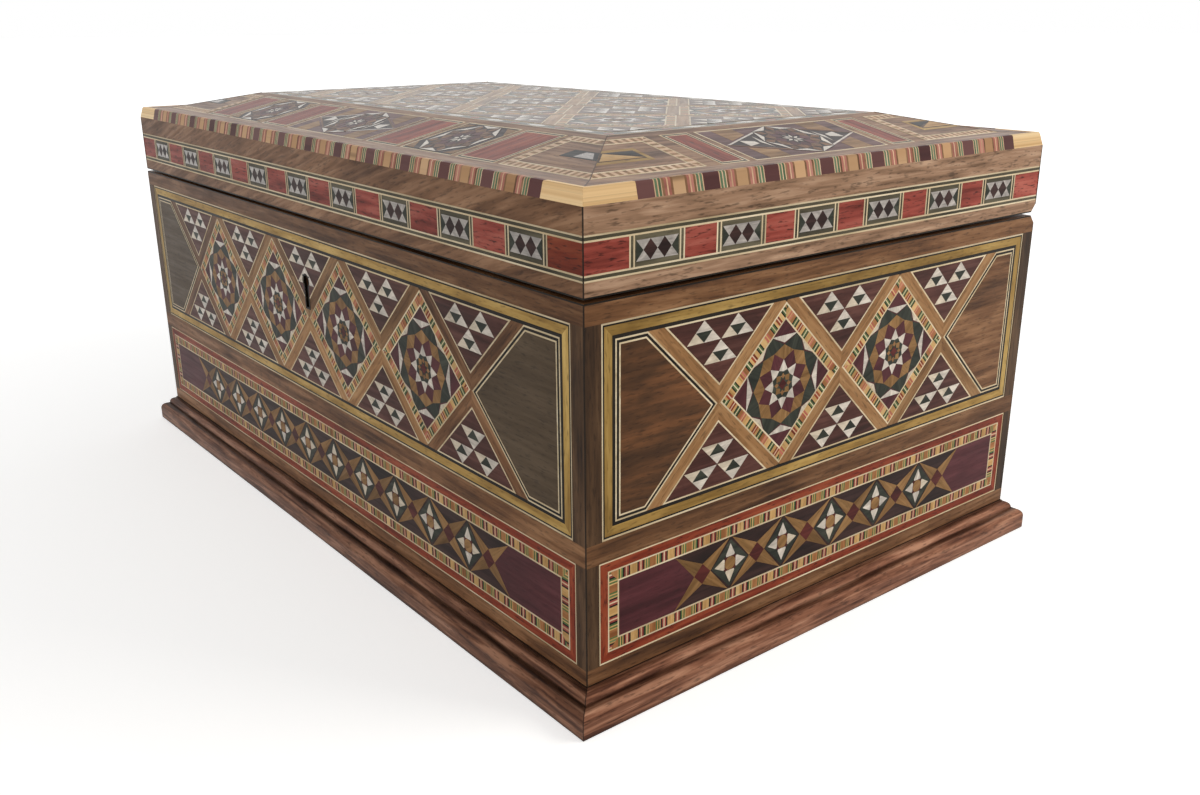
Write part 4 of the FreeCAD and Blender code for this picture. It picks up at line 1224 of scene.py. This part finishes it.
# The end plinths are better lit, so they get less of the painted shade
dress(plinth_wood("x", PLINTH_X, 0.0), "plinth_front", "plinth_back")
dress(plinth_wood("y", PLINTH_Y, 0.22), "plinth_left", "plinth_right")
dress(wood("pale_board", *PALE, "x"), "bottom_board", "lid_top_board")
dress(metal("brass", (150, 112, 52), (206, 166, 92), 0.3), "hinge_case_leaves", "hinge_lid_leaves",
      "lock_plate", "lock_strike", "hinge_case_brads", "hinge_lid_brads", "lock_brads", "strike_brads")
dress(metal("steel", (96, 94, 92), (150, 150, 150), 0.34), "hinge_pins", "lock_case", "lock_bolt")

# Velvet over padded card
floor_low, floor_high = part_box("lining_floor")
wall_pad_low, wall_pad_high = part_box("lining_walls")
lid_pad_low, lid_pad_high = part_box("lid_lining")
plate_low, plate_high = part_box("lock_plate")
red_velvet = velvet("red_velvet", (70, 10, 17), (106, 21, 29))
CARD = (floor_high.z - floor_low.z) / MM
PAD_STEP, PAD_LIP, PAD_ROLL, LOCK_GAP = 5.0, 0.7, 6.0, 0.3
# Shares of the card's thickness: at the edge, gained over the rolled border, and gained by the swell
PAD_EDGE, PAD_RISE, PAD_SWELL = 0.5, 0.38, 0.1


def pad(name, body, nodes, origin, right, up, size, window=None):
    """Cushioned card: a grid that thins towards its edges, with a flat back and an optional cut-out."""
    normal = right.cross(up)
    lines = []
    for length, cuts in zip(size, window or ((), ())):
        count = max(2, round(length / PAD_STEP))
        marks = [length * i / count for i in range(count + 1)] + [PAD_LIP, length - PAD_LIP]
        lines.append(sorted(set(marks + [cut for cut in cuts if 0 < cut < length])))
    across, upward = lines

    def beside(u, w):
        """Distance from the cut-out, below zero inside it."""
        if not window:
            return inf
        return max(window[0][0] - u, u - window[0][1], window[1][0] - w, w - window[1][1])

    def height(u, w):
        clear = min(u, size[0] - u, w, size[1] - w, max(0.0, beside(u, w)))
        roll = max(0.0, min(1.0, clear / PAD_ROLL))
        swell = sin(pi * u / size[0]) * sin(pi * w / size[1])
        return CARD * (PAD_EDGE + PAD_RISE * sqrt(roll * (2 - roll)) + PAD_SWELL * swell)

    points, faces, rims = [], [], {}
    for raised in (True, False):
        for w in upward:
            for u in across:
                lift = height(u, w) if raised else 0.0
                points.append((origin + right * u + up * w + normal * lift) * MM)
    row, sheet = len(across), len(across) * len(upward)
    for j in range(len(upward) - 1):
        for i in range(row - 1):
            if beside((across[i] + across[i + 1]) / 2, (upward[j] + upward[j + 1]) / 2) < 0:
                continue
            quad = [j * row + i, j * row + i + 1, (j + 1) * row + i + 1, (j + 1) * row + i]
            faces += [quad, [sheet + c for c in reversed(quad)]]
            for a, b in corner_pairs(quad):
                if rims.pop((b, a), None) is None:
                    rims[(a, b)] = True
    faces += [[b, a, sheet + a, sheet + b] for a, b in rims]
    used = sorted({c for corners in faces for c in corners})
    order = {c: i for i, c in enumerate(used)}
    mesh = bpy.data.meshes.new(name)
    mesh.from_pydata([points[c] for c in used], [], [[order[c] for c in corners] for corners in faces])
    mesh.materials.append(red_velvet)
    mesh.polygons.foreach_set("use_smooth", [True] * len(faces))
    made = add_piece(name, mesh, body, nodes)


def plan(low, high):
    """Length and width of a box in millimetres."""
    return ((high.x - low.x) / MM, (high.y - low.y) / MM)


X, Y, Z = Vector((1, 0, 0)), Vector((0, 1, 0)), Vector((0, 0, 1))
low, high = wall_pad_low / MM, wall_pad_high / MM
tall = high.z - low.z
long_card, short_card = (high.x - low.x, tall), (high.y - low.y - 2 * CARD, tall)
lock_window = ((plate_low.x / MM - LOCK_GAP - low.x, plate_high.x / MM + LOCK_GAP - low.x),
               (plate_low.z / MM - LOCK_GAP - low.z, tall + 1))
lid_corner = Vector((lid_pad_low.x / MM, lid_pad_high.y / MM, lid_pad_high.z / MM))
pad("floor_velvet", "case", ["lining_floor"], floor_low / MM, X, Y, plan(floor_low, floor_high))
pad("front_velvet", "case", ["lining_walls"], Vector((high.x, low.y, low.z)), -X, Z, long_card, lock_window)
pad("back_velvet", "case", [], Vector((low.x, high.y, low.z)), X, Z, long_card)
pad("right_velvet", "case", [], Vector((high.x, high.y - CARD, low.z)), -Y, Z, short_card)
pad("left_velvet", "case", [], Vector((low.x, low.y + CARD, low.z)), Y, Z, short_card)
pad("lid_velvet", "lid", ["lid_lining"], lid_corner, X, -Y, plan(lid_pad_low, lid_pad_high))

# Floor, light and camera
WHITE = grey(1.0)
paper = new_graph("pale_floor")
fibres = paper.noise(paper.position(), (900, 900, 900), 2.0)
pale = paper.ramp(fibres, (0.3, srgb(226, 226, 225)), (0.7, srgb(232, 232, 231)))
paper.finish(pale, 0.8, Specular_IOR_Level=0.1, Emission_Color=WHITE)
distance = paper.node("VectorMath", {0: paper.position()}, operation="LENGTH").outputs["Value"]
glow = paper.remap(distance, 0.2, 1.2, 0.5, 0.8)
paper.link(paper.shader.inputs["Emission Strength"], paper.math("MULTIPLY", glow, paper.seen_directly()))
bpy.ops.mesh.primitive_circle_add(vertices=96, radius=9.0, fill_type="NGON", location=(0, 0, -0.0002))
floor = bpy.context.object
floor.name = "floor"
floor.data.materials.append(paper.owner)

studio = Graph(bpy.data.worlds.new("studio"), "Background")
studio.link(studio.shader.inputs["Color"], WHITE)
studio.link(studio.shader.inputs["Strength"], studio.remap(studio.seen_directly(), 0.0, 1.0, 0.55, 1.0))
bpy.context.scene.world = studio.owner
LAMP_AIM, WARM = Vector((0, 0, 0.07)), (1.0, 0.96, 0.9)


def lamp(name, place, size, power):
    """Soft warm lamp that faces the box and isn't mirrored in its lacquer."""
    data = bpy.data.lights.new(name, "AREA")
    data.shape = "RECTANGLE"
    data.size, data.size_y = size
    data.energy = power
    data.color = WARM
    made = add_object(name, data)
    made.location = place
    made.rotation_euler = (LAMP_AIM - Vector(place)).to_track_quat("-Z", "Y").to_euler()
    made.visible_glossy = False


lamp("key", (0.62, 0.5, 0.5), (0.5, 0.45), 4.0)
lamp("fill", (0.2, -1.8, 1.0), (1.4, 1.0), 4.2)

# Camera fitted to the box's edges in the photograph, with its focal length in pixels
SENSOR, PHOTO_WIDTH, FOCAL_PIXELS = 36.0, 1200, 1127.45
camera_data = bpy.data.cameras.new("camera")
camera_data.sensor_fit = "HORIZONTAL"
camera_data.sensor_width = SENSOR
camera_data.lens = SENSOR * FOCAL_PIXELS / PHOTO_WIDTH
camera = add_object("camera", camera_data)
ahead = Vector((-0.7383, 0.5915, -0.3242)).normalized()
across = Vector((0.6264, 0.7795, -0.0044))
across = (across - ahead * across.dot(ahead)).normalized()
turn = Matrix((across, across.cross(ahead), -ahead)).transposed().to_4x4()
camera.matrix_world = Matrix.Translation((0.3434, -0.2435, 0.1725)) @ turn
bpy.context.scene.camera = camera
bpy.context.scene.view_settings.view_transform = "Standard"
